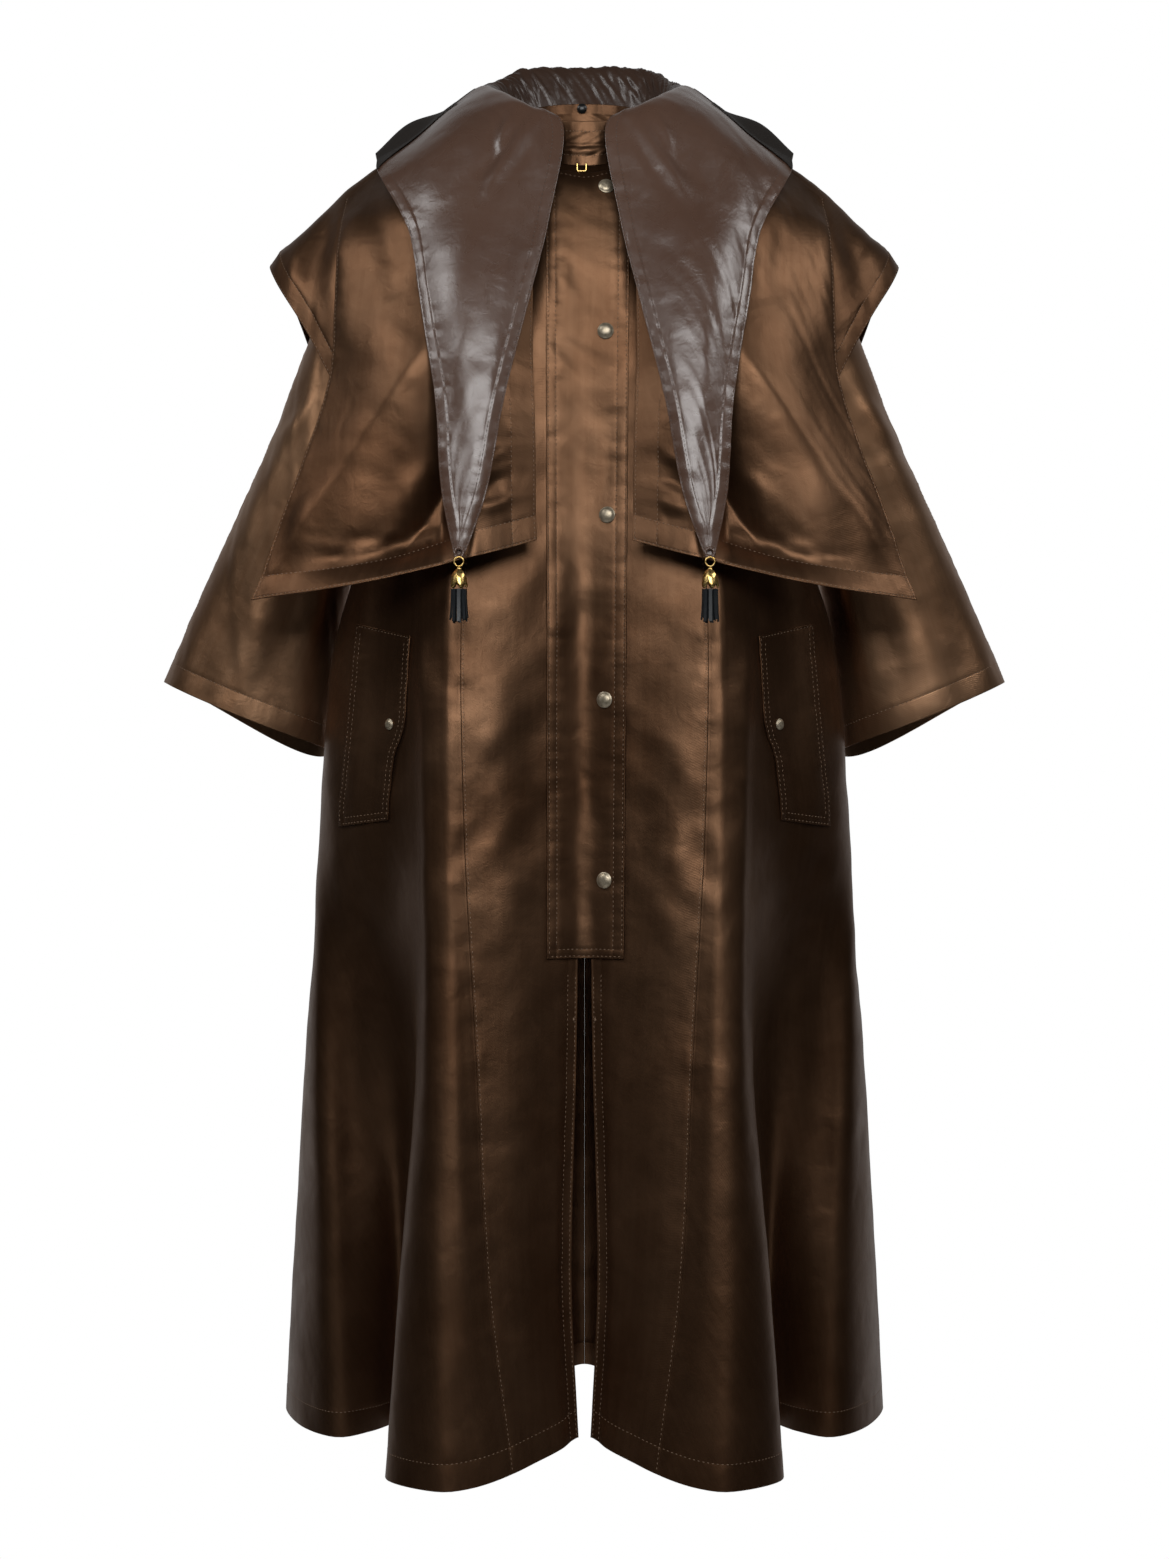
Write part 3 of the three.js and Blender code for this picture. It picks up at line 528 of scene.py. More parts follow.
def clothMaterial(name, facts):
    material, tree, shader = newMaterial(name)
    coords = tree.nodes.new("ShaderNodeTexCoord")
    place, uv = coords.outputs["Object"], coords.outputs["UV"]
    noise = {key: noiseOf(tree, place, *layer) for key, layer in clothNoise.items() if key != "slub"}
    streaks = addNode(tree, "Mapping", Vector=uv, Scale=weave["stretch"])
    slub = noiseOf(tree, streaks.outputs["Vector"], *clothNoise["slub"])
    both = addNode(tree, "Math", {"operation": "MULTIPLY_ADD"})
    tree.links.new(slub, both.inputs[0])
    both.inputs[1].default_value = weave["share"]
    tree.links.new(noise["patches"], both.inputs[2])
    coloured(tree, shader, both.outputs[0], 0.45, 0.90, facts)
    roughened(tree, shader, noise["worn"], facts)
    bands = addNode(tree, "TexWave", {"wave_type": "BANDS", "bands_direction": "DIAGONAL"},
                    Vector=uv, Scale=weave["scale"], Distortion=0.6, Detail=1.0)
    n = None
    for key in ("crumple", "ripple", "crinkle"):
        n = bumpOf(tree, noise[key], facts[key], n)
    for height in (bands.outputs["Fac"], noise["grain"]):
        n = bumpOf(tree, height, facts["grain"], n)
    tree.links.new(n, shader.inputs["Normal"])
    finish = {"Metallic": facts["metal"], "Specular IOR Level": facts["gloss"],
              "Sheen Weight": facts["sheen"], "Sheen Roughness": 0.45, "Sheen Tint": (0.75, 0.52, 0.36, 1),
              "Coat Weight": facts["coat"], "Coat Roughness": 0.22}
    for key, value in finish.items():
        shader.inputs[key].default_value = value
    return material


def metalMaterial(name, facts):
    material, tree, shader = newMaterial(name)
    place = tree.nodes.new("ShaderNodeTexCoord").outputs["Object"]
    spots = noiseOf(tree, place, 380.0, 4.0, 0.6)
    coloured(tree, shader, spots, 0.35, 0.65, facts)
    roughened(tree, shader, spots, facts)
    tree.links.new(bumpOf(tree, noiseOf(tree, place, 900.0, 3.0), facts["wear"]), shader.inputs["Normal"])
    shader.inputs["Metallic"].default_value = facts["metal"]
    return material


def plainMaterial(name, facts):
    material, tree, shader = newMaterial(name)
    place = tree.nodes.new("ShaderNodeTexCoord").outputs["Object"]
    spots = noiseOf(tree, place, facts["scale"], 5.0, 0.6)
    coloured(tree, shader, spots, 0.3, 0.7, facts)
    roughened(tree, shader, spots, facts)
    tree.links.new(bumpOf(tree, spots, facts["wear"]), shader.inputs["Normal"])
    return material


brownThread = {"deep": (0.25, 0.160, 0.10), "lit": (0.38, 0.25, 0.165), "rough": (0.45, 0.6), "scale": 2600,
               "wear": 0.00005}
hoodThread = {"deep": (0.11, 0.080, 0.066), "lit": (0.20, 0.150, 0.125), "rough": (0.4, 0.6), "scale": 2600,
              "wear": 0.00005}
# painted shade: a near-black colour for sheets laid where the fallen hood lies in deep shade
hoodPaintedShade = {"deep": (0.012, 0.009, 0.007), "lit": (0.022, 0.016, 0.012), "rough": (0.6, 0.75), "scale": 700,
              "wear": 0.0001}
blackLeather = {"deep": (0.010, 0.012, 0.014), "lit": (0.022, 0.026, 0.030), "rough": (0.34, 0.5),
                "scale": 900, "wear": 0.00008}
blackSnap = {"deep": (0.008, 0.008, 0.008), "lit": (0.016, 0.016, 0.016), "rough": (0.25, 0.35), "scale": 400,
             "wear": 0.00002}
antiqueBrass = {"deep": (0.44, 0.37, 0.26), "lit": (0.66, 0.57, 0.43), "rough": (0.34, 0.46),
                "wear": 0.00002, "metal": 0.72}
polishedGold = {"deep": (0.86, 0.55, 0.16), "lit": (0.98, 0.70, 0.28), "rough": (0.24, 0.34),
                "wear": 0.00001, "metal": 1.0}
looks = {
    "satin": clothMaterial("brownSatin", satin),
    "laminate": clothMaterial("glossLaminate", laminate),
    "sleeveSatinPaintedLight": clothMaterial("sleeveSatinPaintedLight", sleeveSatinPaintedLight),
    "hoodPaintedShade": plainMaterial("hoodShadeSheetMaterial", hoodPaintedShade),
    "hoodRollPaintedShade": clothMaterial("rollShadedLaminate", hoodRollPaintedShade),
    "thread": plainMaterial("brownThread", brownThread),
    "darkThread": plainMaterial("hoodThread", hoodThread),
    "antique_brass": metalMaterial("antiqueBrass", antiqueBrass),
    "gold": metalMaterial("polishedGold", polishedGold),
    "leather": plainMaterial("blackLeather", blackLeather),
    "black_plastic": plainMaterial("blackSnap", blackSnap),
}
print("materials made")

# Armhole: an upright oval, 0 degrees at the shoulder tip, 90 in front, 180 under the arm
armhole = {"topX": -200, "topZ": -30, "lowX": -190, "lowZ": -235, "midY": 10, "halfDepth": 66}


def armholePoint(deg):
    # an oval between the shoulder tip and the underarm, at one depth to front and back
    u = (1 + math.cos(math.radians(deg))) / 2
    return [armhole["lowX"] + (armhole["topX"] - armhole["lowX"]) * u,
            armhole["midY"] - armhole["halfDepth"] * math.sin(math.radians(deg)),
            armhole["lowZ"] + (armhole["topZ"] - armhole["lowZ"]) * u]


# Coat body: a row for each fold or seam line down the coat, from centre front to centre back.
# Columns: place round the hem, top point or degrees round the armhole, then x and y at the five
# heights of bodyHeights, and the hem's x, y and z.
bodyHeights = [-300, -446, -620, -820, -1030]
bodyRibs = [
    (0.008, (-6, -80, -20), (-5, -118), (-5, -126), (-5, -129), (-7, -131), (-11.6, -131),
     (-5.4, -130, -1175)),
    (0.035, (-50, -62, -7), (-32, -122), (-30, -134), (-28, -138), (-24, -141), (-26, -143),
     (-20.3, -145, -1182)),
    (0.075, (-68, 9.7, 22), (-66, -126), (-66, -144), (-64, -152), (-56, -156), (-52, -160),
     (-44.3, -162, -1191)),
    (0.11, (-120, 9.7, 1.5), (-106, -126), (-111, -150), (-108, -160), (-97, -168), (-86, -176),
     (-65, -177, -1198)),
    (0.165, (-145, 9.7, -8), (-128, -120), (-130, -147), (-127, -160), (-120, -175), (-113, -188),
     (-102, -196, -1206)),
    (0.21, (-172, 9.7, -19), (-146, -110), (-147, -135), (-143, -150), (-139, -168), (-138, -186),
     (-131, -200, -1207.5)),
    (0.26, 0.3, (-160, -98), (-157, -120), (-152, -132), (-150, -142), (-165, -154), (-177, -155, -1208)),
    (0.34, 60, (-176, -80), (-186, -90), (-184, -92), (-158, -70), (-160, -40), (-160, -20, -1208)),
    (0.42, 100, (-185, -55), (-214, -64), (-216, -64), (-182, -20), (-178, 40), (-180, 84, -1208)),
    (0.47, 130, (-187, -25), (-233, -32), (-240, -34), (-218, 0), (-200, 25), (-205, 45, -1208)),
    (0.52, 150, (-187, 5), (-231, 5), (-252, 5), (-252, 10), (-240, 10), (-236, 18, -1208)),
    (0.57, 168, (-185, 32), (-221, 36), (-247, 42), (-267, 50), (-270, 55), (-272, 60, -1208)),
    (0.64, 180, (-180, 58), (-205, 68), (-231, 82), (-265, 105), (-287, 140), (-300, 171, -1208)),
    (0.71, 225, (-165, 90), (-178, 112), (-203, 140), (-238, 178), (-258, 205), (-262, 228, -1208)),
    (0.78, 290, (-138, 104), (-142, 134), (-158, 165), (-178, 192), (-186, 208), (-190, 218, -1206)),
    (0.85, 359.7, (-105, 113), (-110, 148), (-118, 185), (-128, 225), (-134, 258), (-138, 284, -1204)),
    (0.91, (-120, 10.3, 1.5), (-70, 117), (-74, 148), (-80, 178), (-86, 212), (-90, 240),
     (-92, 264, -1200)),
    (0.95, (-68, 10.3, 22), (-35, 117), (-37, 142), (-39, 163), (-42, 186), (-46, 208), (-48, 226, -1194)),
    (0.975, (-44, 55, 31), (-18, 116), (-19, 144), (-20, 170), (-21, 200), (-22, 228), (-24, 248, -1190)),
    (1.0, (0, 72, 34), (0, 115), (0, 146), (0, 174), (0, 208), (0, 240), (0, 268, -1187)),
]
bodyDown = [0, 0.06, 0.12, 0.18, 0.26, 0.38, 0.52, 0.68, 0.85, 1]


def bodyRib(row):
    # from its top a rib leaves level and turns down along a quarter of an oval to the chest
    top = np.array(armholePoint(row[1]) if isinstance(row[1], (int, float)) else row[1], float)
    lower = [(*xy, z) for xy, z in zip(row[2:7], bodyHeights)]
    chest = np.array(lower[0], float)
    u = np.array([0, 0.25, 0.5, 0.75])[:, None] * math.pi / 2
    share = np.concatenate([np.sin(u), np.sin(u), 1 - np.cos(u)], axis=1)
    return np.concatenate([top + (chest - top) * share, lower, [row[7]]])


def wholeRing(rows, ribOf, past):
    # the rows, their mirror image before them, and a few past the back so that the ring is smooth there
    half = [(row[0], ribOf(row)) for row in rows]
    ring = [(-at, mirrored(rib)) for at, rib in half[::-1]] + half
    ring += [(2 - at, mirrored(rib)) for at, rib in half[-2:-2 - past:-1]]
    return [r[0] for r in ring], bodyDown, np.array([r[1] for r in ring])


coatBody = ribbed(*wholeRing(bodyRibs, bodyRib, 2))
# y of the shoulder seam, how far each side keeps from it, and the z above which it does
shoulder = {"y": 10, "gap": 0.3, "above": -100}


def aheadOfSeam(p):
    # front panels stop just before the shoulder seam
    kept = np.minimum(p[..., 1], shoulder["y"] - shoulder["gap"])
    p[..., 1] = np.where(p[..., 2] > shoulder["above"], kept, p[..., 1])
    return p


def behindSeam(p):
    # back panels stop just behind it
    kept = np.maximum(p[..., 1], shoulder["y"] + shoulder["gap"])
    p[..., 1] = np.where(p[..., 2] > shoulder["above"], kept, p[..., 1])
    return p


# Folds of the coat seen from the front, in steps of the front picture: start, end, height (a
# trough where negative), half width and bend. Right and left of the picture differ a little.
coatFolds = [
    (478, 620, 500, 960, 2.2, 30, 8), (522, 650, 533, 900, -1.6, 20, -6),
    (437, 640, 430, 900, 1.8, 22, 10), (700, 610, 672, 980, 2.0, 30, -8),
    (652, 630, 640, 930, -1.5, 20, 6), (735, 640, 742, 900, 1.6, 22, -9),
    (548, 1000, 552, 1380, -1.2, 18, 4), (505, 1040, 530, 1400, 1.0, 24, 6),
    (455, 1100, 440, 1440, 2.0, 28, -6), (636, 1005, 618, 1390, -1.1, 18, -5),
    (668, 1040, 640, 1410, 1.0, 24, -6), (722, 1090, 735, 1440, 1.8, 28, 5),
    (330, 860, 318, 1330, 2.6, 20, 6), (355, 950, 352, 1400, -3.4, 16, 4),
    (848, 870, 856, 1340, 2.4, 20, -6), (822, 960, 822, 1400, -3.2, 16, -5),
    (420, 590, 450, 700, -2.2, 16, 5), (752, 590, 725, 690, -2.2, 16, -4),
    (575, 230, 545, 330, 1.4, 14, 6), (600, 560, 560, 640, 1.2, 16, 6),
    (612, 760, 570, 830, -1.2, 14, -5), (540, 690, 470, 770, 1.6, 16, 8),
    (500, 800, 440, 870, -1.5, 15, -6), (640, 720, 700, 800, 1.5, 16, -8),
    (560, 850, 500, 930, 1.3, 15, 6), (690, 820, 730, 900, -1.4, 15, 6),
    (620, 860, 680, 950, 1.2, 15, -6),
]
# The same for the back, in mm across and down
backFolds = [
    (-150, -420, -210, -1150, 5.0, 26, 12), (-95, -500, -120, -1100, -4.5, 20, -10),
    (-40, -430, -70, -1120, 4.0, 22, 8), (20, -450, 26, -1100, -4.0, 20, 6),
    (70, -430, 96, -1160, 4.6, 24, -8), (120, -520, 160, -1130, -4.2, 20, 9),
    (170, -460, 224, -1140, 4.8, 24, -12), (-225, -700, -262, -1150, -3.6, 18, 6),
    (230, -720, 268, -1160, -3.4, 18, -6), (-120, -250, -60, -380, 2.6, 18, 8),
    (110, -260, 50, -390, 2.4, 18, -8),
]


def coatRelief(points, normals, across, down, flip):
    # folds, and soft unevenness that is strongest round the waist and hips and calmer towards the hem
    x, z = points[..., 0], points[..., 2]
    calm = 1 - 0.7 * ramp(-z, 640, 900)
    soft = 1.5 * wander(x + 0.5 * z, 5, 24) * wander(z - 0.3 * x, 6, 30) + 0.9 * wander(z - x, 9, 40)
    folds = foldsOf(points, normals, coatFolds, backFolds, (0.25, 0.1))
    return ramp(-z, 60, 220) * (folds + calm * soft)


hemLine = [("bottom", 24.0)]
seamLines = [("first", 0.0), ("first", 2.0), ("last", 0.0), ("last", 2.0)]
ventLines = [("first", 2.0), ("first", 9.5)]
ventTack = {"x": 12.2, "z": -794}
hemSewn = [("bottom", 24.0, 0, 0)]


def addBodyPanels():
    chest = 0.26
    upper, lower = np.linspace(0, chest, 51), np.linspace(chest, 1, 150)
    whole = np.concatenate([upper[:-1], lower])
    side = dense([0.11, 0.165, 0.21, 0.26, 0.34, 0.42, 0.47, 0.52, 0.57, 0.64], 9)
    front = dense([0.008, 0.035, 0.075, 0.11], 12)
    back = dense([0.64, 0.71, 0.78, 0.85, 0.91, 0.95, 0.975, 1.0], 11)
    ventSewn = [(edge, inset, 745, 0) for edge, inset in ventLines] + [("last", 2.0, 250, 0)]
    # name, places round and down the coat, what keeps it off the shoulder seam, its lines, seams, stitches
    panels = [
        ("front", front, whole, aheadOfSeam, hemLine + seamLines[2:] + ventLines, ["last"],
         hemSewn + ventSewn),
        ("side_yoke", side, upper, aheadOfSeam, seamLines, ["first", "last", "bottom"], []),
        ("side_front", side, lower, None, hemLine + seamLines, ["first", "last", "top"], hemSewn),
        ("back", back, whole, behindSeam, hemLine + seamLines, ["first", "last"], hemSewn),
    ]
    for name, s, t, kept, lines, seams, sewn in panels:
        made = addPair(name, coatBody, s[None, :], t[:, None], kept=kept, lines=lines, seams=seams,
                       sewn=sewn, relief=coatRelief, seed=11, held="hung", restsOn=["collar"])
        if name == "front":
            tackStar(made[0], -ventTack["x"], ventTack["z"])
            tackStar(made[1], ventTack["x"], ventTack["z"])


addBodyPanels()
print("coat body made")

# Fly placket: x of its edges and z of its ends
placket = {"topZ": -22, "lowZ": -740.5, "topRight": 35, "topLeft": 41.5, "lowRight": 34.4, "lowLeft": 36.2,
           "gap": 0.9, "wall": 2.0}
onPlacket = placket["gap"] + placket["wall"]
# x, z and how far the snap stands off the cloth
snapPlaces = [(19.8, -35.5, 0.2), (19.5, -171, 0.8), (21.3, -339, 0.8), (19.5, -507, 0.8), (19.5, -670, 0.8)]


def widthAt(x, t):
    # how far round from the centre front the coat is this wide, by halving the range
    near, far = np.zeros_like(t), np.full_like(t, 0.1)
    for _ in range(34):
        middle = (near + far) / 2
        short = -coatBody(middle, t)[..., 0] < x
        near, far = np.where(short, middle, near), np.where(short, far, middle)
    return near


def sewnRound(lines, corner):
    # stitches along all the lines; the inner ones start and stop short of the corners
    return [(edge, inset, 2, 2) if inset < 3 else (edge, inset, corner, corner) for edge, inset in lines]


placketFolds = [
    (560, 240, 575, 330, 1.4, 12, 5), (610, 420, 600, 500, -1.0, 10, -4), (565, 560, 556, 690, 1.2, 11, 5),
    (590, 600, 575, 660, -1.0, 12, 5), (612, 640, 596, 700, 0.9, 9, 3), (570, 760, 598, 840, -0.9, 11, -5),
    (556, 800, 566, 930, 0.8, 10, 4), (600, 800, 585, 870, 0.8, 10, 4),
]


def placketRelief(points, normals, across, down, flip):
    # flat under each snap, with a shallow ring pressed in round it
    out = creaseField(frontPlace(points), placketFolds) + 0.5 * wander(down + 0.6 * across, 21, 22)
    calm = 1
    for x, z, _ in snapPlaces:
        d = np.hypot(points[..., 0] - x, points[..., 2] - z)
        calm = calm * (1 - bell(d, 13))
        out = out - 0.35 * bell(d - 9.5, 2.2)
    return out * calm * ramp(down, 0, 40)


def addPlacket():
    # a strip of the coat's own surface over both front edges, lifted off it
    topT = spotOn(coatBody, 0, placket["topZ"], 0, 0.03)[1]
    lowT = spotOn(coatBody, 0, placket["lowZ"], 0, 0.6)[1]
    t = np.linspace(topT, lowT, 230)
    down = (t - topT) / (lowT - topT)
    right = widthAt(placket["topRight"] + (placket["lowRight"] - placket["topRight"]) * down, t)
    left = widthAt(placket["topLeft"] + (placket["lowLeft"] - placket["topLeft"]) * down, t)
    u = np.linspace(0, 1, 27)[None, :]
    s = -left[:, None] + (left + right)[:, None] * u
    lines = [("first", 1.8), ("first", 10.5), ("last", 1.8), ("last", 9.0), ("bottom", 1.8),
             ("bottom", 8.0), ("top", 6.0)]
    addCloth("placket", coatBody, s, t[:, None], wall=1.8, lift=onPlacket, lines=lines,
             relief=placketRelief, seed=31, held="hung", restsOn=["front_right", "front_left"],
             sewn=sewnRound(lines, 8))


addPlacket()
print("placket made")

# Stand collar: a ring whose ends meet under the wearer's left lapel
collar = {"openDeg": -34, "gapDeg": 0.7, "midY": -4, "halfWidth": 60, "halfDepth": 76.2, "sideRise": 9}


def collarSurface(s, t):
    s, t = paired(s, t)
    deg = collar["openDeg"] + collar["gapDeg"] + (360 - 2 * collar["gapDeg"]) * s
    sin, cos = np.sin(np.radians(deg)), np.cos(np.radians(deg))
    # the collar leans in by 3 mm; both its edges rise towards the back, the lower one at the sides too
    inwards = 3 * t
    low = 11 - 23.6 * cos + collar["sideRise"] * sin * sin
    high = 54 - 25 * cos
    x = -(collar["halfWidth"] - inwards) * sin
    y = collar["midY"] + t - (collar["halfDepth"] - 0.3 * inwards) * cos
    return np.stack([x, y, low + (high - low) * t], axis=-1)


def collarRelief(points, normals, across, down, flip):
    # one fold all round, a groove below it, and fine unevenness
    fold = bell(down - 14, 3.0) * (0.9 + 0.5 * wander(across, 51, 12))
    return 0.9 * fold - 0.6 * bell(down - 19, 2.0) + 0.35 * wander(across + 2 * down, 52, 7)


def addCollar():
    lines = [("top", 9.5), ("bottom", 9.5)]
    addCloth("collar", collarSurface, *evenGrid(0, 1, 240, 24), wall=2.0, outward=-1, lines=lines,
             relief=collarRelief, seed=61, held="stretched", restsOn=["front_right", "front_left"],
             pitch=3.6, sewn=[(*line, 0, 0) for line in lines])


addCollar()
print("collar made")

# Sleeve: a row for each section: x and z of the ring's outer and inner ends, its middle y, half
# depth, and how much lower its back hangs
sleeveRows = [
    (-200.3, -30, -190.3, -235, 10, 66, 0), (-231, -74, -202, -250, 11, 66, 0),
    (-262, -160, -208, -300, 14, 67, 0), (-311.5, -281, -222, -385, 24, 65, 2),
    (-358.5, -380, -236, -470, 36, 63, 8), (-405, -485, -246, -550, 44, 62, 12),
]
sleeveDown = [0, 0.14, 0.34, 0.58, 0.78, 1]


def armholeAt(deg):
    # place round the coat of an angle round the armhole
    turn = np.clip(np.where(deg > 360, deg - 360, np.minimum(deg, 359.7)), 0.3, None)
    rows = [row for row in bodyRibs if isinstance(row[1], (int, float))]
    return np.interp(turn, [row[1] for row in rows], [row[0] for row in rows])


def sleeveSurface(s, t):
    # each section is a slanted oval whose back hangs lower; the first follows the armhole on the coat
    # and stands a little off it, and smooth curves run down through all six
    s, t = paired(s, t)
    sin, cos = np.sin(np.radians(s)).ravel(), np.cos(np.radians(s)).ravel()
    ribs = []
    for outX, outZ, inX, inZ, midY, depth, drop in sleeveRows:
        u = (1 + cos) / 2
        ribs.append(np.stack([inX + (outX - inX) * u, midY - depth * sin,
                              inZ + (outZ - inZ) * u - drop * np.maximum(0, -sin) * (1 - cos)], axis=-1))
    head = coatBody(armholeAt(s.ravel()), np.zeros(s.size))
    head[:, 0] -= 0.3 + 1.4 * np.maximum(0, cos) + 2.6 * np.maximum(0, -cos * sin)
    ribs[0] = head
    return cubic(sleeveDown, np.stack(ribs, axis=1), t.ravel(), own=True).reshape(*s.shape, 3)


sleeveFolds = [
    (300, 420, 232, 610, 3.0, 17, 8), (318, 470, 262, 690, -2.8, 15, -7),
    (292, 400, 262, 470, -2.2, 10, 4), (330, 560, 300, 720, 2.8, 14, 6),
    (250, 560, 205, 690, -1.8, 14, 5), (315, 400, 280, 440, 2.0, 9, -3),
    (868, 420, 940, 600, 2.8, 17, -8), (852, 470, 905, 690, -2.8, 15, 7),
    (878, 395, 915, 470, -2.2, 10, -4), (842, 570, 866, 720, 2.6, 14, -6),
    (925, 560, 962, 690, -1.8, 14, -5), (860, 395, 890, 440, 1.8, 9, 3),
]
sleeveBackFolds = [
    (-255, -220, -330, -470, 4, 18, 8), (-225, -260, -270, -520, -3.6, 15, -8),
    (-290, -280, -360, -470, -3, 14, 6), (258, -230, 322, -460, 3.8, 18, -8),
    (228, -270, 262, -530, -3.4, 15, 8), (296, -280, 350, -480, -2.8, 14, -6),
]


def sleeveRelief(points, normals, across, down, flip):
    # folds, and a swell on what faces straight forwards that grows towards the cuff
    ahead = 15.0 * np.clip(-normals[..., 1], 0, 1) ** 3 * ramp(down, 120, 450)
    folds = foldsOf(points, normals, sleeveFolds, sleeveBackFolds)
    return ahead + ramp(down, 0, 60) * (folds + 0.6 * wander(down - across, 71, 26))


def addSleeves():
    # name, degrees round the sleeve from edge to edge, the edge on its outer seam, that seam's stitches
    halves = [("sleeve_front", 8, 180, "first", [("first", 2.0, 60, 0)]),
              ("sleeve_back", 180, 368, "last", [])]
    for name, low, high, outerEdge, seamSewn in halves:
        addPair(name, sleeveSurface, *evenGrid(low, high, 52, 120), look="sleeveSatinPaintedLight", outward=-1,
                lines=[("bottom", 20.0), (outerEdge, 2.0)], seams=["first", "last"], relief=sleeveRelief,
                seed=81, seedStep=5, held="hung", restsOn=["side_yoke_{}"],
                sewn=[("bottom", 20.0, 0, 0)] + seamSewn)


addSleeves()
print("sleeves made")

# Back cape with its wings: place, start at the neck, hem, how early the rib falls, and how far it
# takes the shoulder's own shape
capeRibs = [
    (0, (-72, -20, 17), (-205, -82, -240), 0.8, 0), (0.07, (-74, -12, 19), (-231, -80, -213), 0.75, 0),
    (0.14, (-76, -5, 21), (-256, -62, -167), 0.7, 0.2), (0.22, (-77, 2, 23), (-289, -25, -113), 0.62, 0.6),
    (0.29, (-78, 8, 24), (-299, 2, -92), 0.6, 1), (0.38, (-77, 20, 27), (-291, 46, -97), 0.62, 0.6),
    (0.5, (-68, 40, 31), (-259, 101, -186), 0.66, 0.2), (0.62, (-53, 57, 35), (-211, 137, -290), 0.7, 0),
    (0.75, (-36, 68, 38), (-146, 160, -370), 0.72, 0), (0.88, (-18, 72.2, 38), (-74, 168, -398), 0.75, 0),
    (1, (0, 73.7, 38), (0, 170, -405), 0.75, 0),
]
capeDown = np.linspace(0, 1, 7)
shoulderLift = [0, 7, 18, 5, -8, -6, 0]


def capeRib(row):
    # from the neck outwards by a sine and down by one less a cosine, so it leaves the neck level and
    # hangs at the hem; early bends it down sooner, and over the shoulder it is lifted
    start, hem, early = np.array(row[1], float), np.array(row[2], float), row[3]
    u = capeDown * math.pi / 2
    share = np.stack([np.sin(u), np.sin(u), (1 - np.cos(u)) ** early], axis=1)
    lifted = np.outer(shoulderLift, [0, 0, row[4]])
    return start + (hem - start) * share + lifted


def acrossBack(rows, ribOf):
    # the rows from the wearer's right to the centre back, then their mirror image
    half = [(row[0], ribOf(row)) for row in rows]
    ring = half + [(2 - at, mirrored(rib)) for at, rib in half[-2::-1]]
    return [r[0] for r in ring], np.array([r[1] for r in ring])


capeAcross, capeNet = acrossBack(capeRibs, capeRib)
capeSurface = ribbed(capeAcross, capeDown, capeNet)
wingFolds = [
    (350, 196, 336, 320, 3.0, 12, 5), (328, 222, 305, 300, -2.2, 12, 4), (310, 240, 290, 282, 1.4, 9, 3),
    (819, 196, 833, 320, 2.8, 12, -5), (843, 222, 864, 300, -2.2, 12, -4),
    (862, 242, 882, 284, 1.3, 9, -3),
]
capeBackFolds = [
    (-110, -60, -190, -300, 6, 24, 14), (-60, -120, -90, -390, -5, 20, -8),
    (-14, -90, -26, -390, 4.6, 20, 6), (38, -110, 52, -390, -4.6, 20, 6),
    (82, -80, 126, -370, 5.4, 22, -10), (130, -70, 200, -300, -4.6, 20, 12),
    (-150, -60, -240, -230, -4.4, 18, 10), (170, -50, 258, -200, 4.2, 18, -10),
]


def capeRelief(points, normals, across, down, flip):
    # the wings' folds show only beside the lapels
    folds = foldsOf(points, normals, wingFolds, capeBackFolds, shown=np.abs(points[..., 0]) > 120)
    return ramp(down, 0, 70) * (folds + 0.7 * wander(down + 0.4 * across, 91, 30))


def addCapeBack():
    addCloth("cape_back", capeSurface, *evenGrid(0, 2, 250, 80), lines=[("bottom", 23.0)],
             relief=capeRelief, seed=95, restsOn=["back_right", "back_left"],
             sewn=[("bottom", 23.0, 0, 0), ("bottom", 2.0, 0, 0)])


addCapeBack()

# Cape front: a row for each level: front edge, side edge, and how far the row's middle stands off
capeFrontRows = [
    ((-47, -88, -8), (-225, -25, -34.6), 50, 30.4), ((-47, -104, -60), (-228, -62, -75), -8, 22),
    ((-47, -122, -140), (-229, -80, -140), -28, 0), ((-47, -134, -212), (-231, -94, -212), -34, 0),
    ((-46.8, -143, -285), (-250, -106, -282), -36, -3), ((-46.5, -148, -330), (-272, -117, -345), -36, -5),
    ((-46.3, -150, -365.5), (-295.4, -125, -419.7), -34, -5),
]
capeFrontDown = [0, 0.16, 0.36, 0.54, 0.72, 0.86, 1]
topRaise = [-0.75, -0.75, 3.25, 11.75, 2.25]
fifths = np.linspace(0, 1, 5)


def capeFrontRib(k):
    # a point at one share of each level: straight from the front to the side edge, bowed by a parabola
    r = fifths[k]
    rib = [np.array(f) + (np.array(e, float) - np.array(f)) * r + np.array([0, by, bz]) * 4 * r * (1 - r)
           for f, e, by, bz in capeFrontRows]
    rib[0][2] += topRaise[k]
    return rib


capeFrontSurface = ribbed(fifths, capeFrontDown, [capeFrontRib(k) for k in range(5)])
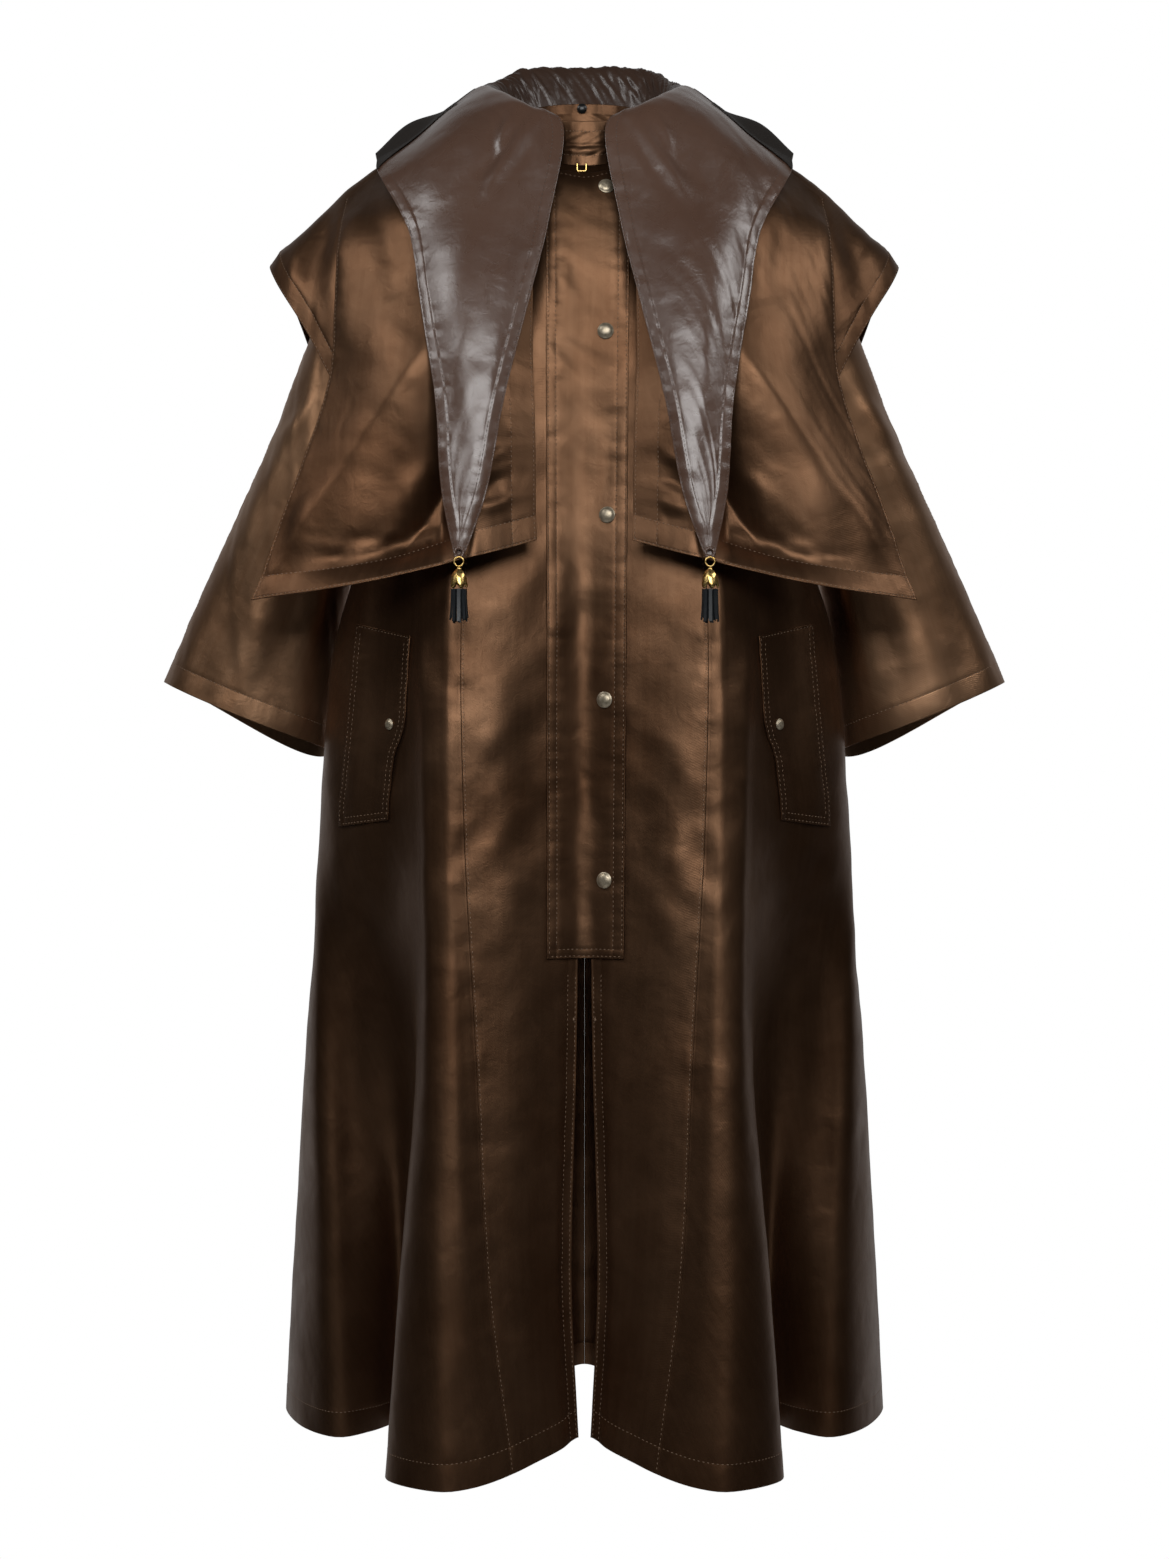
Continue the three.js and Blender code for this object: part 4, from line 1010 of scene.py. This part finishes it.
# The crest runs from the lapel down to the corner; below it the cloth falls in, and the hem turns out
# again. Right of the picture it is a little lower. Places are in steps of the front picture.
capeCrest = {
    "right": {"high": (432, 352), "low": (284, 574), "rise": 9.0, "fall": 56.0, "near": 474, "far": 440},
    "left": {"high": (736, 356), "low": (885, 575), "rise": 8.4, "fall": 54.0, "near": 695, "far": 729},
}
capeFrontFolds = [
    (352, 205, 348, 330, 3.4, 14, 4), (374, 200, 390, 290, -2.4, 14, -5),
    (424, 462, 398, 508, 3.0, 13, 4), (500, 452, 478, 470, 2.8, 7, 2), (505, 478, 480, 492, -2.6, 6, 2),
    (505, 500, 478, 508, 2.8, 6, -2), (318, 500, 300, 556, 2.2, 12, 3), (440, 527, 405, 537, 2.0, 6, 2),
    (400, 536, 375, 543, -1.8, 6, 2), (372, 541, 345, 550, 2.0, 6, 2), (342, 549, 320, 556, -1.6, 6, -2),
    (480, 300, 494, 430, 2.4, 18, 6), (817, 205, 821, 330, 3.2, 14, -4),
    (795, 200, 779, 290, -2.2, 14, 5), (748, 470, 772, 512, 2.7, 13, -4),
    (668, 456, 690, 472, 2.6, 7, -2), (664, 480, 689, 493, -2.4, 6, -2), (664, 502, 690, 510, 2.6, 6, 2),
    (852, 500, 868, 556, 2.2, 12, -3), (728, 528, 762, 537, 2.0, 6, -2),
    (768, 536, 792, 543, -1.8, 6, -2), (796, 541, 822, 550, 1.9, 6, -2), (826, 549, 848, 557, -1.6, 6, 2),
    (690, 300, 676, 430, 2.2, 18, -6),
]


def crestForm(seen, bottom, facts):
    # distance below the crest line gives a slow rise up to it and an even fall past it, which ends 84
    # steps further on, deepens towards the lapel and is mostly taken back over the hem's band
    a, b = np.array(facts["high"], float), np.array(facts["low"], float)
    way = (b - a) / np.linalg.norm(b - a)
    side = np.array([-way[1], way[0]])
    if side[1] < 0:
        side = -side
    d = (seen - a) @ side + 8
    along = softStep((seen - a) @ way, -70, 40)
    rise = facts["rise"] * bell(np.minimum(d, 0), 85)
    inwards = softStep((seen[..., 0] - facts["near"]) / (facts["far"] - facts["near"]), 0, 1)
    past = np.sqrt(np.maximum(d, 0) ** 2 + 25) - 5
    fall = facts["fall"] * 0.01 * np.minimum(past, 84) * inwards * (1 - 0.7 * bell(bottom, 21))
    return along * (rise - fall)


def capeFrontRelief(points, normals, across, down, flip):
    seen, bottom = frontPlace(points), down[-1:] - down
    form = crestForm(seen, bottom, capeCrest["left" if flip else "right"]) + 4.0 * bell(bottom, 17)
    out = form + creaseField(seen, capeFrontFolds) + 0.5 * wander(down + across, 101, 34)
    return ramp(down, 0, 60) * out


def addCapeFronts():
    addPair("cape_front", capeFrontSurface, *evenGrid(0, 1, 84, 100),
            lines=[("bottom", 23.0), ("first", 24.0), ("bottom", 2.0), ("last", 2.0)],
            relief=capeFrontRelief, seed=111, seedStep=7, restsOn=["cape_back"],
            sewn=[("bottom", 23.0, 2, 2), ("bottom", 2.0, 0, 0), ("first", 24.0, 250, 0),
                  ("first", 2.0, 0, 0), ("last", 2.0, 0, 0)])


addCapeFronts()
print("cape made")

# Hood lapel: a row for each level, five points across from the inner to the outer edge
lapelRows = [
    [(-70, 2, 44), (-92, 8, 82), (-127, 12, 63), (-163, 8, 32), (-196, -12, 6)],
    [(-52, -60, 42), (-76, -50, 61), (-114, -40, 50), (-154, -34, 22), (-194, -40, -9)],
    [(-21, -88, 27), (-60, -88, 34), (-103, -80, 22), (-146, -72, 0), (-186, -66, -26)],
    [(-32.4, -124, -70), (-65, -132, -72), (-98, -132, -75), (-130, -124, -78), (-160, -107, -80)],
    [(-50, -150, -148), (-75, -157, -147), (-100, -158, -146), (-125, -151, -145), (-149, -136, -144)],
    [(-72, -172, -240), (-87, -177, -240), (-103, -178, -239), (-118, -174, -239), (-133.5, -166, -238)],
    [(-89, -185, -331), (-98, -188, -331), (-107, -188, -331), (-117, -186, -330), (-126, -182, -330)],
    [(-105.8, -190, -379), (-108.3, -190.5, -379.5), (-110.8, -190.5, -380), (-113.3, -190.5, -380.5),
     (-115.5, -190, -381)],
]
lapelDown = [0, 0.11, 0.22, 0.38, 0.53, 0.71, 0.89, 1]
lapelSurface = ribbed(fifths, lapelDown, np.swapaxes(np.array(lapelRows, float), 0, 1))
lapelFolds = [
    (546, 108, 488, 190, 3.6, 8, 6), (532, 112, 470, 178, -2.2, 8, -4), (512, 118, 498, 150, 2.6, 5, 2),
    (530, 140, 512, 172, -1.4, 5, -2), (455, 130, 425, 210, 1.6, 18, 8), (488, 210, 450, 300, 1.8, 26, 8),
    (446, 320, 470, 490, -1.1, 16, 4), (496, 330, 476, 470, 1.2, 15, -5),
    (462, 330, 466, 420, 0.9, 10, 3), (623, 108, 681, 190, 2.5, 8, -6), (637, 112, 699, 180, -2.1, 8, 4),
    (657, 118, 671, 150, 1.5, 5, -2), (640, 142, 657, 174, -1.4, 5, 2), (714, 132, 743, 212, 1.5, 18, -8),
    (682, 212, 719, 300, 1.8, 26, -8), (723, 322, 699, 490, -1.1, 16, -4),
    (672, 330, 692, 470, 1.2, 15, 5), (706, 334, 702, 420, 0.9, 10, -3),
]


def lapelRelief(points, normals, across, down, flip):
    # folds, and a band along both long edges that stands a little higher than the middle
    grow = ramp(down, 0, 30) * np.clip((down[-1:] - down) / 60, 0, 1)
    edge = np.minimum(across, across[:, -1:] - across)
    band = 0.8 * (1 - softStep(edge, 9.2, 12.2)) * ramp(down, 60, 120)
    soft = 0.5 * wander(down + 0.5 * across, 121 + flip, 24)
    return grow * (creaseField(frontPlace(points), lapelFolds) + band + soft)


def addLapels():
    t = evenly(lapelSurface, 0.5, 0, 1, 150)[:, None]
    lines = [("first", 1.8), ("first", 10.5), ("last", 1.8), ("last", 10.5)]
    addPair("hood_lapel", lapelSurface, np.linspace(0, 1, 64)[None, :], t, look="laminate",
            slot="laminate", wall=1.4, lines=lines, seams=["top"], relief=lapelRelief, seed=131, seedStep=9,
            restsOn=["cape_front_{}"], thread="darkThread",
            sewn=[(edge, inset, 60, 2 if inset < 3 else 45) for edge, inset in lines])


addLapels()

# Painted shade in the hood: near-black sheets laid where the fallen hood lies in deep shade, which have no
# solid of their own
paintedShadeSheet = {"look": "hoodPaintedShade", "slot": "laminate", "wall": 0.8, "lift": 1.3, "replaced": False}


def addHoodShadeSheet():
    # a strip of painted shade above each lapel: from the lapel's top seam down to a slanted line
    t = np.linspace(0, 1, 12)[:, None]
    s = np.linspace(0.47, 1.0, 48)[None, :]
    places, drops = [0.47, 0.6, 0.75, 0.88, 0.96, 1.0], [0.014, 0.028, 0.045, 0.062, 0.08, 0.105]
    edge = np.interp(s[0], places, drops)[None, :]
    addPair("hood_shade_sheet", lapelSurface, s, t * edge + 0.0005, seed=171,
            restsOn=["hood_lapel_{}_cloth"], **paintedShadeSheet)


addHoodShadeSheet()

# Fallen hood: a row for each rib: place, then points at the neck, inside the roll, on its crest,
# behind it, low on the back and at the hem
hoodRibs = [
    (0, [(-70, 3.2, 44), (-80, 5.2, 66), (-92, 9.2, 82), (-127, 13.2, 63), (-163, 9.4, 32), (-196, -10.6, 6)]),
    (0.3, [(-66, 36, 50), (-70, 42, 78), (-80, 50, 96), (-128, 52, 68), (-170, 44, 51), (-199, 26, 14)]),
    (0.6, [(-48, 66, 52), (-51, 72, 92), (-58, 86, 116), (-110, 112, 78), (-156, 112, 28), (-186, 98, -50)]),
    (0.82, [(-25, 71.4, 46), (-26, 82, 95), (-30, 96, 121), (-66, 142, 80), (-92, 162, 4), (-106, 166, -95)]),
    (1, [(0, 72.9, 44), (0, 85, 95), (0, 99, 121), (0, 150, 80), (0, 174, -12), (0, 180, -150)]),
]
hoodDown = [0, 0.14, 0.3, 0.55, 0.78, 1]
hoodAcross, hoodNet = acrossBack(hoodRibs, lambda row: np.array(row[1], float))
hoodSurface = ribbed(hoodAcross, hoodDown, hoodNet)
hoodFolds = [
    (-60, 60, -110, -70, 4.5, 16, 8), (-20, 70, -34, -120, -4.2, 16, -6), (24, 66, 30, -110, 4.2, 16, 6),
    (64, 60, 100, -80, -4.4, 16, -8), (-110, 50, -160, -30, -3.8, 14, 6),
    (112, 50, 164, -24, 3.8, 14, -6), (-80, 0, 70, -30, -2.6, 16, 14), (-60, -60, 80, -84, 2.4, 14, -10),
]


def hoodRelief(points, normals, across, down, flip):
    # gathers cross the roll: short uneven waves along it that die away down the back
    roll = bell(points[..., 2] - 104, 26) * (np.abs(points[..., 0]) < 110)
    gathers = 1.9 * wander(across + 0.12 * down, 141, 4.6) + 1.6 * wander(across - 0.4 * down, 142, 7.0)
    back = np.clip(normals[..., 1], 0, 1)
    edge = ramp(np.minimum(across, across[:, -1:] - across), 0, 25)
    folds = back * creaseField(points[..., [0, 2]], hoodFolds)
    return edge * (gathers * roll + folds + 0.6 * wander(down + 0.5 * across, 143, 18))


def addHoodBack():
    t = evenly(hoodSurface, 1.0, 0, 1, 110)[:, None]
    lines = [("bottom", 1.8), ("bottom", 10.5)]
    addCloth("hood_back", hoodSurface, np.linspace(0, 2, 240)[None, :], t, look="hoodRollPaintedShade",
             slot="laminate", wall=1.4, lines=lines, seams=["first", "last"], relief=hoodRelief, seed=151,
             held="gathered", restsOn=["cape_back"], thread="darkThread",
             sewn=[(*line, 0, 0) for line in lines])


addHoodBack()


def addHoodFacingShade():
    # the same painted shade, as a sheet along the front of the fallen hood beside each lapel's seam
    s, t = np.linspace(0.004, 0.36, 50)[None, :], np.linspace(0.40, 0.995, 60)[:, None]
    addPair("hood_facing_shade", hoodSurface, s, t, seed=173, restsOn=["hood_back_cloth"], **paintedShadeSheet)


addHoodFacingShade()
print("hood made")

# Pocket flaps: x and z of the back and front end of each row
pocketRows = [
    (-210, -435, -157.5, -448.6), (-214.4, -484, -160, -491), (-218.8, -532, -162.8, -533),
    (-221.2, -554.3, -172.5, -554.7), (-223.5, -574, -175.2, -574), (-226.8, -597.2, -178, -596.8),
    (-227.7, -622.3, -178.9, -616),
]
pocketSnap = (-176.5, -528.5)


def addPocketFlaps():
    # places on the coat are found for a coarse grid and then spread evenly over a finer one
    knots = np.linspace(0, 1, len(pocketRows))
    rows = np.array([np.interp(np.linspace(0, 1, 40), knots, [r[k] for r in pocketRows]) for k in range(4)]).T
    u = np.linspace(0, 1, 18)
    coarse = np.array([[spotOn(coatBody, r[2] + (r[0] - r[2]) * v, r[3] + (r[1] - r[3]) * v, 0.36, 0.46)
                        for v in u[::3].tolist() + [1.0]] for r in rows[::3]])
    rowsAt, colsAt = np.linspace(0, 1, len(coarse)), np.append(u[::3], 1.0)
    down = np.linspace(0, 1, 60)
    s = np.array([np.interp(np.linspace(0, 1, 24), colsAt, line[:, 0]) for line in coarse])
    t = np.array([np.interp(np.linspace(0, 1, 24), colsAt, line[:, 1]) for line in coarse])
    s = np.stack([np.interp(down, rowsAt, s[:, k]) for k in range(24)], axis=1)
    t = np.stack([np.interp(down, rowsAt, t[:, k]) for k in range(24)], axis=1)
    lines = [(edge, inset) for edge in ("first", "last", "bottom") for inset in (1.8, 7.5)] + [("top", 1.8)]
    addPair("pocket_flap", coatBody, s, t, wall=1.8, lift=2.4, lines=lines, seed=161, seedStep=1,
            held="hung", restsOn=["side_front_{}"], sewn=sewnRound(lines, 7))


addPocketFlaps()
print("pocket flaps made")


# Closed surfaces of two parameters that run round a profile and round an axis
def ringMesh(name, grid, closedProfile, slot, body, node):
    # grid: rows round the axis, columns along the profile; the first row joins the last
    rows, cols = grid.shape[:2]
    index = np.arange(rows * cols).reshape(rows, cols)
    nextRow = np.roll(index, -1, axis=0)
    stop = cols if closedProfile else cols - 1
    nextCol = np.roll(np.arange(cols), -1)
    corners = [index[:, :stop], nextRow[:, :stop], nextRow[:, nextCol[:stop]], index[:, nextCol[:stop]]]
    faces = np.stack(corners, axis=-1).reshape(-1, 4)
    points = grid.reshape(-1, 3)
    if not closedProfile:
        low, high = len(points), len(points) + 1
        points = np.concatenate([points, grid[:, 0].mean(axis=0)[None], grid[:, -1].mean(axis=0)[None]])
        a, b = index[:, 0], np.roll(index[:, 0], -1)
        c, d = index[:, -1], np.roll(index[:, -1], -1)
        caps = np.concatenate([np.stack([a, np.full(rows, low), np.full(rows, low), b], axis=1),
                               np.stack([d, np.full(rows, high), np.full(rows, high), c], axis=1)])
        triangles = np.concatenate([faces[:, [0, 1, 2]], faces[:, [0, 2, 3]], caps[:, [0, 1, 3]]])
    else:
        triangles = np.concatenate([faces[:, [0, 1, 2]], faces[:, [0, 2, 3]]])
    p, q, r = points[triangles[:, 0]], points[triangles[:, 1]], points[triangles[:, 2]]
    if (p * np.cross(q, r)).sum() < 0:
        triangles = triangles[:, ::-1]
    made = makeMesh(name, points, triangles)
    made.data.materials.append(looks[slot])
    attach(made, body)
    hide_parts(node)


def onAxis(grid, place, way):
    # turns a shape that stands on +Z so that it stands on way, and puts it at place
    way = np.array(way, float) / np.linalg.norm(way)
    side = np.cross([0, 0, 1.0] if abs(way[2]) < 0.9 else [1.0, 0, 0], way)
    side /= np.linalg.norm(side)
    other = np.cross(way, side)
    return grid @ np.stack([side, other, way]) + np.array(place)


def domeGrid(radius, height, around=40):
    # a domed cap: foot, rolled rim, a shallow groove inside the rim, then the dome
    profile = np.array([[0.02, 0.0], [0.97, 0.0], [1.0, 0.08], [1.0, 0.2], [0.965, 0.3], [0.93, 0.31],
                        [0.9, 0.34], [0.8, 0.55], [0.65, 0.76], [0.45, 0.91], [0.22, 0.985], [0.02, 1.0]])
    a = turns(around)[:, None]
    r, z = profile[:, 0][None] * radius, profile[:, 1][None] * height
    return np.stack([r * np.cos(a), r * np.sin(a), z + 0 * a], axis=-1)


def coatSpot(x, z, s, t):
    # place and direction on the coat at a given x and z
    s, t = spotOn(coatBody, x, z, s, t)
    return coatBody(np.array(s), np.array(t)), normalsOf(coatBody, np.array(s), np.array(t))


# Radius and height of each cap, and how far it stands off the cloth
snapCap = {"radius": 7.4, "height": 3.2}
pocketCap = {"radius": 5.2, "height": 2.6, "off": 2.8}
neckCap = {"radius": 4.8, "height": 2.2, "place": (-2.4, 68.4, 74), "way": (0, -1, 0)}

for k, (x, z, off) in enumerate(snapPlaces):
    at, way = coatSpot(x, z, -x / 900, 0.02 - z / 1300)
    dome = domeGrid(snapCap["radius"], snapCap["height"])
    ringMesh(f"snapCap_{k + 1}", onAxis(dome, at + way * (onPlacket + off), way), False, "antique_brass",
             "coat", f"snap_{k + 1}")
at, way = coatSpot(*pocketSnap, 0.36, 0.46)
for side, sign in (("right", 1), ("left", -1)):
    turn = np.array([sign, 1, 1])
    dome = onAxis(domeGrid(pocketCap["radius"], pocketCap["height"]), (at + way * pocketCap["off"]) * turn,
                  way * turn)
    ringMesh(f"pocketSnapCap_{side}", dome, False, "antique_brass", "coat", f"pocket_snap_{side}")
dome = onAxis(domeGrid(neckCap["radius"], neckCap["height"]), neckCap["place"], neckCap["way"])
ringMesh("neckSnapCap", dome, False, "black_plastic", "coat", "neck_snap")


def sweep(path, wide, tall, corner, around=12):
    # a rounded bar carried along a path in the XZ plane: the section is a soft square across the path
    across = np.cross(unit(np.gradient(path, axis=0)), [0, 1.0, 0])
    a = turns(around)
    c, s = np.cos(a), np.sin(a)
    side = np.sign(c) * np.abs(c) ** corner * wide / 2
    out = np.sign(s) * np.abs(s) ** corner * tall / 2
    return path[None] + side[:, None, None] * across[None] + out[:, None, None] * np.array([0, 1.0, 0])


# Hook: half its width, the radius of its corners, z of its ends and of its bar, and its bar's section
hook = {"half": 4.1, "turn": 1.3, "topZ": 4.9, "lowZ": -2.5, "place": (-2.6, -81.6, -15.3), "wide": 1.7,
        "tall": 1.5, "corner": 0.55}


def addHook():
    # a square U that opens upwards: two arms and a bar with rounded corners
    arm = np.linspace(0, 1, 8)[:, None]
    turn = np.linspace(0, math.pi / 2, 6)[:, None]
    inner, start = hook["half"] - hook["turn"], hook["lowZ"] + hook["turn"]
    top, low = [-hook["half"], 0, hook["topZ"]], [-hook["half"], 0, start]
    left = np.array([top]) * (1 - arm) + np.array([low]) * arm
    first = np.concatenate([-inner - hook["turn"] * np.cos(turn), 0 * turn,
                            start - hook["turn"] * np.sin(turn)], axis=1)
    bar = np.array([[-inner, 0, hook["lowZ"]]]) * (1 - arm) + np.array([[inner, 0, hook["lowZ"]]]) * arm
    second, right = mirrored(first[::-1]), mirrored(left[::-1])
    path = np.concatenate([left, first[1:], bar[1:], second[1:], right[1:]]) + np.array(hook["place"])
    ringMesh("collarHookBar", sweep(path, hook["wide"], hook["tall"], hook["corner"]), False, "gold",
             "coat", "collar_hook")


addHook()
print("fastenings made")

# Tassels: loop, ring, cap of pointed petals, leather strips
tassel = {"x": -111, "y": -195, "loopZ": -378.4, "ringZ": -386.4, "capTop": -391.7, "capLow": -409.3}
# Strips: count, radius and first angle of each ring, how much shorter it is, and a strip's size
stripRings = [(10, 6.6, 0.0, 1.2), (5, 3.1, 0.3, 0)]
strip = {"width": 2.9, "thick": 0.9, "longest": 31, "shorter": 1.6, "lean": (0.2, 2.2), "slide": (-0.9, 0.9)}


def torusGrid(radius, tube, centre, twist=0.0, strands=0, stretch=1.0):
    # a ring in the XZ plane; with strands, the tube's radius swells in turns that wind along it
    a, b = turns(64)[:, None], turns(18)[None, :]
    r = tube * (1 + (0.16 * np.cos(strands * b + twist * a) - 0.08 if strands else 0 * a * b))
    reach = radius + r * np.cos(b)
    ring = np.stack([reach * np.cos(a), r * np.sin(b) + 0 * a, reach * np.sin(a) * stretch], axis=-1)
    return ring + np.array(centre)


def petalCap(x):
    # a bell whose rim runs down into five points, with a rib down each petal
    a = turns(80)[:, None]
    v = np.linspace(0, 1, 26)[None, :]
    profileV = [0, 0.08, 0.16, 0.3, 0.5, 0.75, 0.9, 1.0]
    profileR = [1.9, 2.1, 3.2, 5.0, 6.5, 7.3, 7.6, 7.0]
    petal = np.abs(np.cos(2.5 * a))
    deep = tassel["capTop"] - tassel["capLow"]
    r = np.interp(v[0], profileV, profileR)[None] * (1 + 0.14 * (petal - 0.6) * v)
    fall = deep * v * (0.72 + 0.28 * petal**0.7)
    outer = np.stack([r * np.cos(a), r * np.sin(a), -fall + 0 * a], axis=-1)
    inside = outer[:, ::-1] * np.array([0.88, 0.88, 1.0]) + np.array([0, 0, -0.4])
    return np.concatenate([outer, inside], axis=1) + np.array([x, tassel["y"], tassel["capTop"]])


def leatherStrips(name, x, seed):
    # flat strips in two rings, each bending a little outwards and sideways towards its end
    rng = np.random.default_rng(seed)
    boxes, faces = [], []
    v = np.linspace(0, 1, 9)
    for count, radius, start, less in stripRings:
        for k in range(count):
            angle = start + 2 * math.pi * k / count
            long = strip["longest"] - strip["shorter"] * ((k * 7) % 3) - less
            lean, slide = rng.uniform(*strip["lean"]), rng.uniform(*strip["slide"])
            out = np.array([math.sin(angle), -math.cos(angle), 0])
            side = np.array([math.cos(angle), math.sin(angle), 0])
            middle = (radius + lean * v**2)[:, None] * out + (slide * v**2)[:, None] * side
            middle = middle + np.outer(-1 - v * (long - 1), [0, 0, 1.0])
            w, d = strip["width"] / 2, strip["thick"] / 2
            corners = [middle + side * a * w + out * b * d for a, b in ((-1, -1), (1, -1), (1, 1), (-1, 1))]
            base = sum(len(b) for b in boxes)
            boxes.append(np.stack(corners, axis=1).reshape(-1, 3))
            i = np.arange(8)[:, None] * 4 + np.arange(4)[None]
            j = np.arange(8)[:, None] * 4 + np.roll(np.arange(4), -1)[None]
            faces.append(np.stack([i, j, j + 4, i + 4], axis=-1).reshape(-1, 4) + base)
            faces.append(np.array([[0, 3, 2, 1], [32, 33, 34, 35]]) + base)
    points = np.concatenate(boxes) + np.array([x, tassel["y"], tassel["capLow"] - 0.3])
    made = makeMesh(name, points, np.concatenate(faces), smooth=False)
    made.data.materials.append(looks["leather"])
    return made


for side, sign, seed in (("right", 1, 201), ("left", -1, 202)):
    x = tassel["x"] * sign
    body = f"tassel_{side}"
    loop = torusGrid(3.9, 1.5, (x, tassel["y"] + 2.7, tassel["loopZ"]), 9, 3, 1.06)
    ring = torusGrid(4.1, 0.8, (x, tassel["y"], tassel["ringZ"]))
    ringMesh(f"tasselLoop_{side}", loop, True, "laminate", "coat", f"tassel_loop_{side}")
    ringMesh(f"tasselRing_{side}", ring, True, "gold", body, f"tassel_ring_{side}")
    ringMesh(f"tasselCap_{side}", petalCap(x), True, "gold", body, f"tassel_cap_{side}")
    fringe = leatherStrips(f"tasselStrips_{side}", x, seed)
    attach(fringe, body)
    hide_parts(f"tassel_fringe_{side}")
print("tassels made")


# A stitch: how far it stands off the cloth, half its length as a share of the pitch, half its width, and
# how high its middle, how low its ends and its underside are
stitch = {"off": 0.12, "share": 0.39, "half": 0.42, "high": 0.28, "ends": 0.2, "under": 0.25}


def addStitches():
    # every stitch is a small spindle: two ends on the line, four points round its middle
    for look, name, slot in (("thread", "topStitches", "satin"), ("darkThread", "hoodStitches", "laminate")):
        spots = [s for s in allStitches if s[0] == look]
        at, way, up = (np.concatenate([s[k] for s in spots]) for k in (1, 2, 3))
        pitch = np.concatenate([np.full(len(s[1]), s[4]) for s in spots])[:, None]
        way, up = unit(way), unit(up)
        at = at + up * stitch["off"]
        reach, side = way * pitch * stitch["share"], np.cross(way, up) * stitch["half"]
        down = up * stitch["ends"]
        points = np.stack([at - reach - down, at + side, at + up * stitch["high"], at - side,
                           at - up * stitch["under"], at + reach - down], axis=1).reshape(-1, 3)
        one = np.array([[0, 1, 2], [0, 2, 3], [0, 3, 4], [0, 4, 1],
                        [5, 2, 1], [5, 3, 2], [5, 4, 3], [5, 1, 4]])
        faces = (one[None] + 6 * np.arange(len(at))[:, None, None]).reshape(-1, 3)
        made = makeMesh(name, points, faces)
        made.data.materials.append(looks[look])
        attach(made, "coat")
        print(look, len(at), "stitches")


addStitches()


# Studio: a pale floor well below the hanging coat, a white surround and soft lights
studio = {"floorZ": -2.4, "floorHalf": 1.9}


def addFloor():
    h, z = studio["floorHalf"], studio["floorZ"]
    corners = np.array([(-h, -h, z), (h, -h, z), (h, h, z), (-h, h, z)]) / mm
    floorObject = makeMesh("studioFloor", corners, [[0, 1, 2, 3]], smooth=False)
    material, tree, shader = newMaterial("paleFloor")
    place = tree.nodes.new("ShaderNodeTexCoord").outputs["Object"]
    tone = noiseOf(tree, place, 3.0)
    tree.links.new(blendOf(tree, tone, (0.82, 0.82, 0.82), (0.86, 0.86, 0.86)), shader.inputs["Base Color"])
    shader.inputs["Roughness"].default_value = 0.9
    floorObject.data.materials.append(material)


def makeSurround():
    # the surround is white where it is seen; as light it is bright behind the coat and dim in front
    world = bpy.data.worlds.new("studioWorld")
    world.use_nodes = True
    tree = world.node_tree
    tree.nodes.clear()
    out = tree.nodes.new("ShaderNodeOutputWorld")
    seen = addNode(tree, "Background", Color=(1, 1, 1, 1), Strength=1.0)
    way = addNode(tree, "SeparateXYZ", Vector=tree.nodes.new("ShaderNodeTexCoord").outputs["Generated"])
    glow = rangeOf(tree, way.outputs["Y"], 0.42, 0.98, surround["front"], surround["back"])
    lit = addNode(tree, "Background", Color=(1, 1, 1, 1), Strength=glow)
    path = tree.nodes.new("ShaderNodeLightPath")
    mix = addNode(tree, "MixShader", Fac=path.outputs["Is Camera Ray"])
    tree.links.new(lit.outputs[0], mix.inputs[1])
    tree.links.new(seen.outputs[0], mix.inputs[2])
    tree.links.new(mix.outputs[0], out.inputs["Surface"])
    bpy.context.scene.world = world


def addLight(name, place, aim, wide, tall, power):
    # a soft rectangle that faces its aim: turned by the heading and the slope from place to aim
    data = bpy.data.lights.new(name, "AREA")
    data.shape = "RECTANGLE"
    data.size, data.size_y = wide, tall
    data.energy = power
    lamp = bpy.data.objects.new(name, data)
    lamp.location = place
    way = np.array(aim, float) - np.array(place, float)
    flat = math.hypot(way[0], way[1])
    lamp.rotation_euler = (math.pi / 2 + math.atan2(way[2], flat), 0, math.atan2(-way[0], way[1]))
    bpy.context.scene.collection.objects.link(lamp)


surround = {"front": 0.015, "back": 0.5}
addFloor()
makeSurround()
addLight("frontSoft", (0, -3.2, 0.84), (0, 0, -0.2), 2.3, 1.2, 48)
addLight("leftSoft", (-2.2, -1.1, 1.5), (0, 0, -0.25), 1.2, 0.9, 17)
addLight("rightSoft", (2.2, -1.1, 1.5), (0, 0, -0.25), 1.2, 0.9, 16)
bpy.context.scene.view_settings.view_transform = "Standard"
print("studio made")
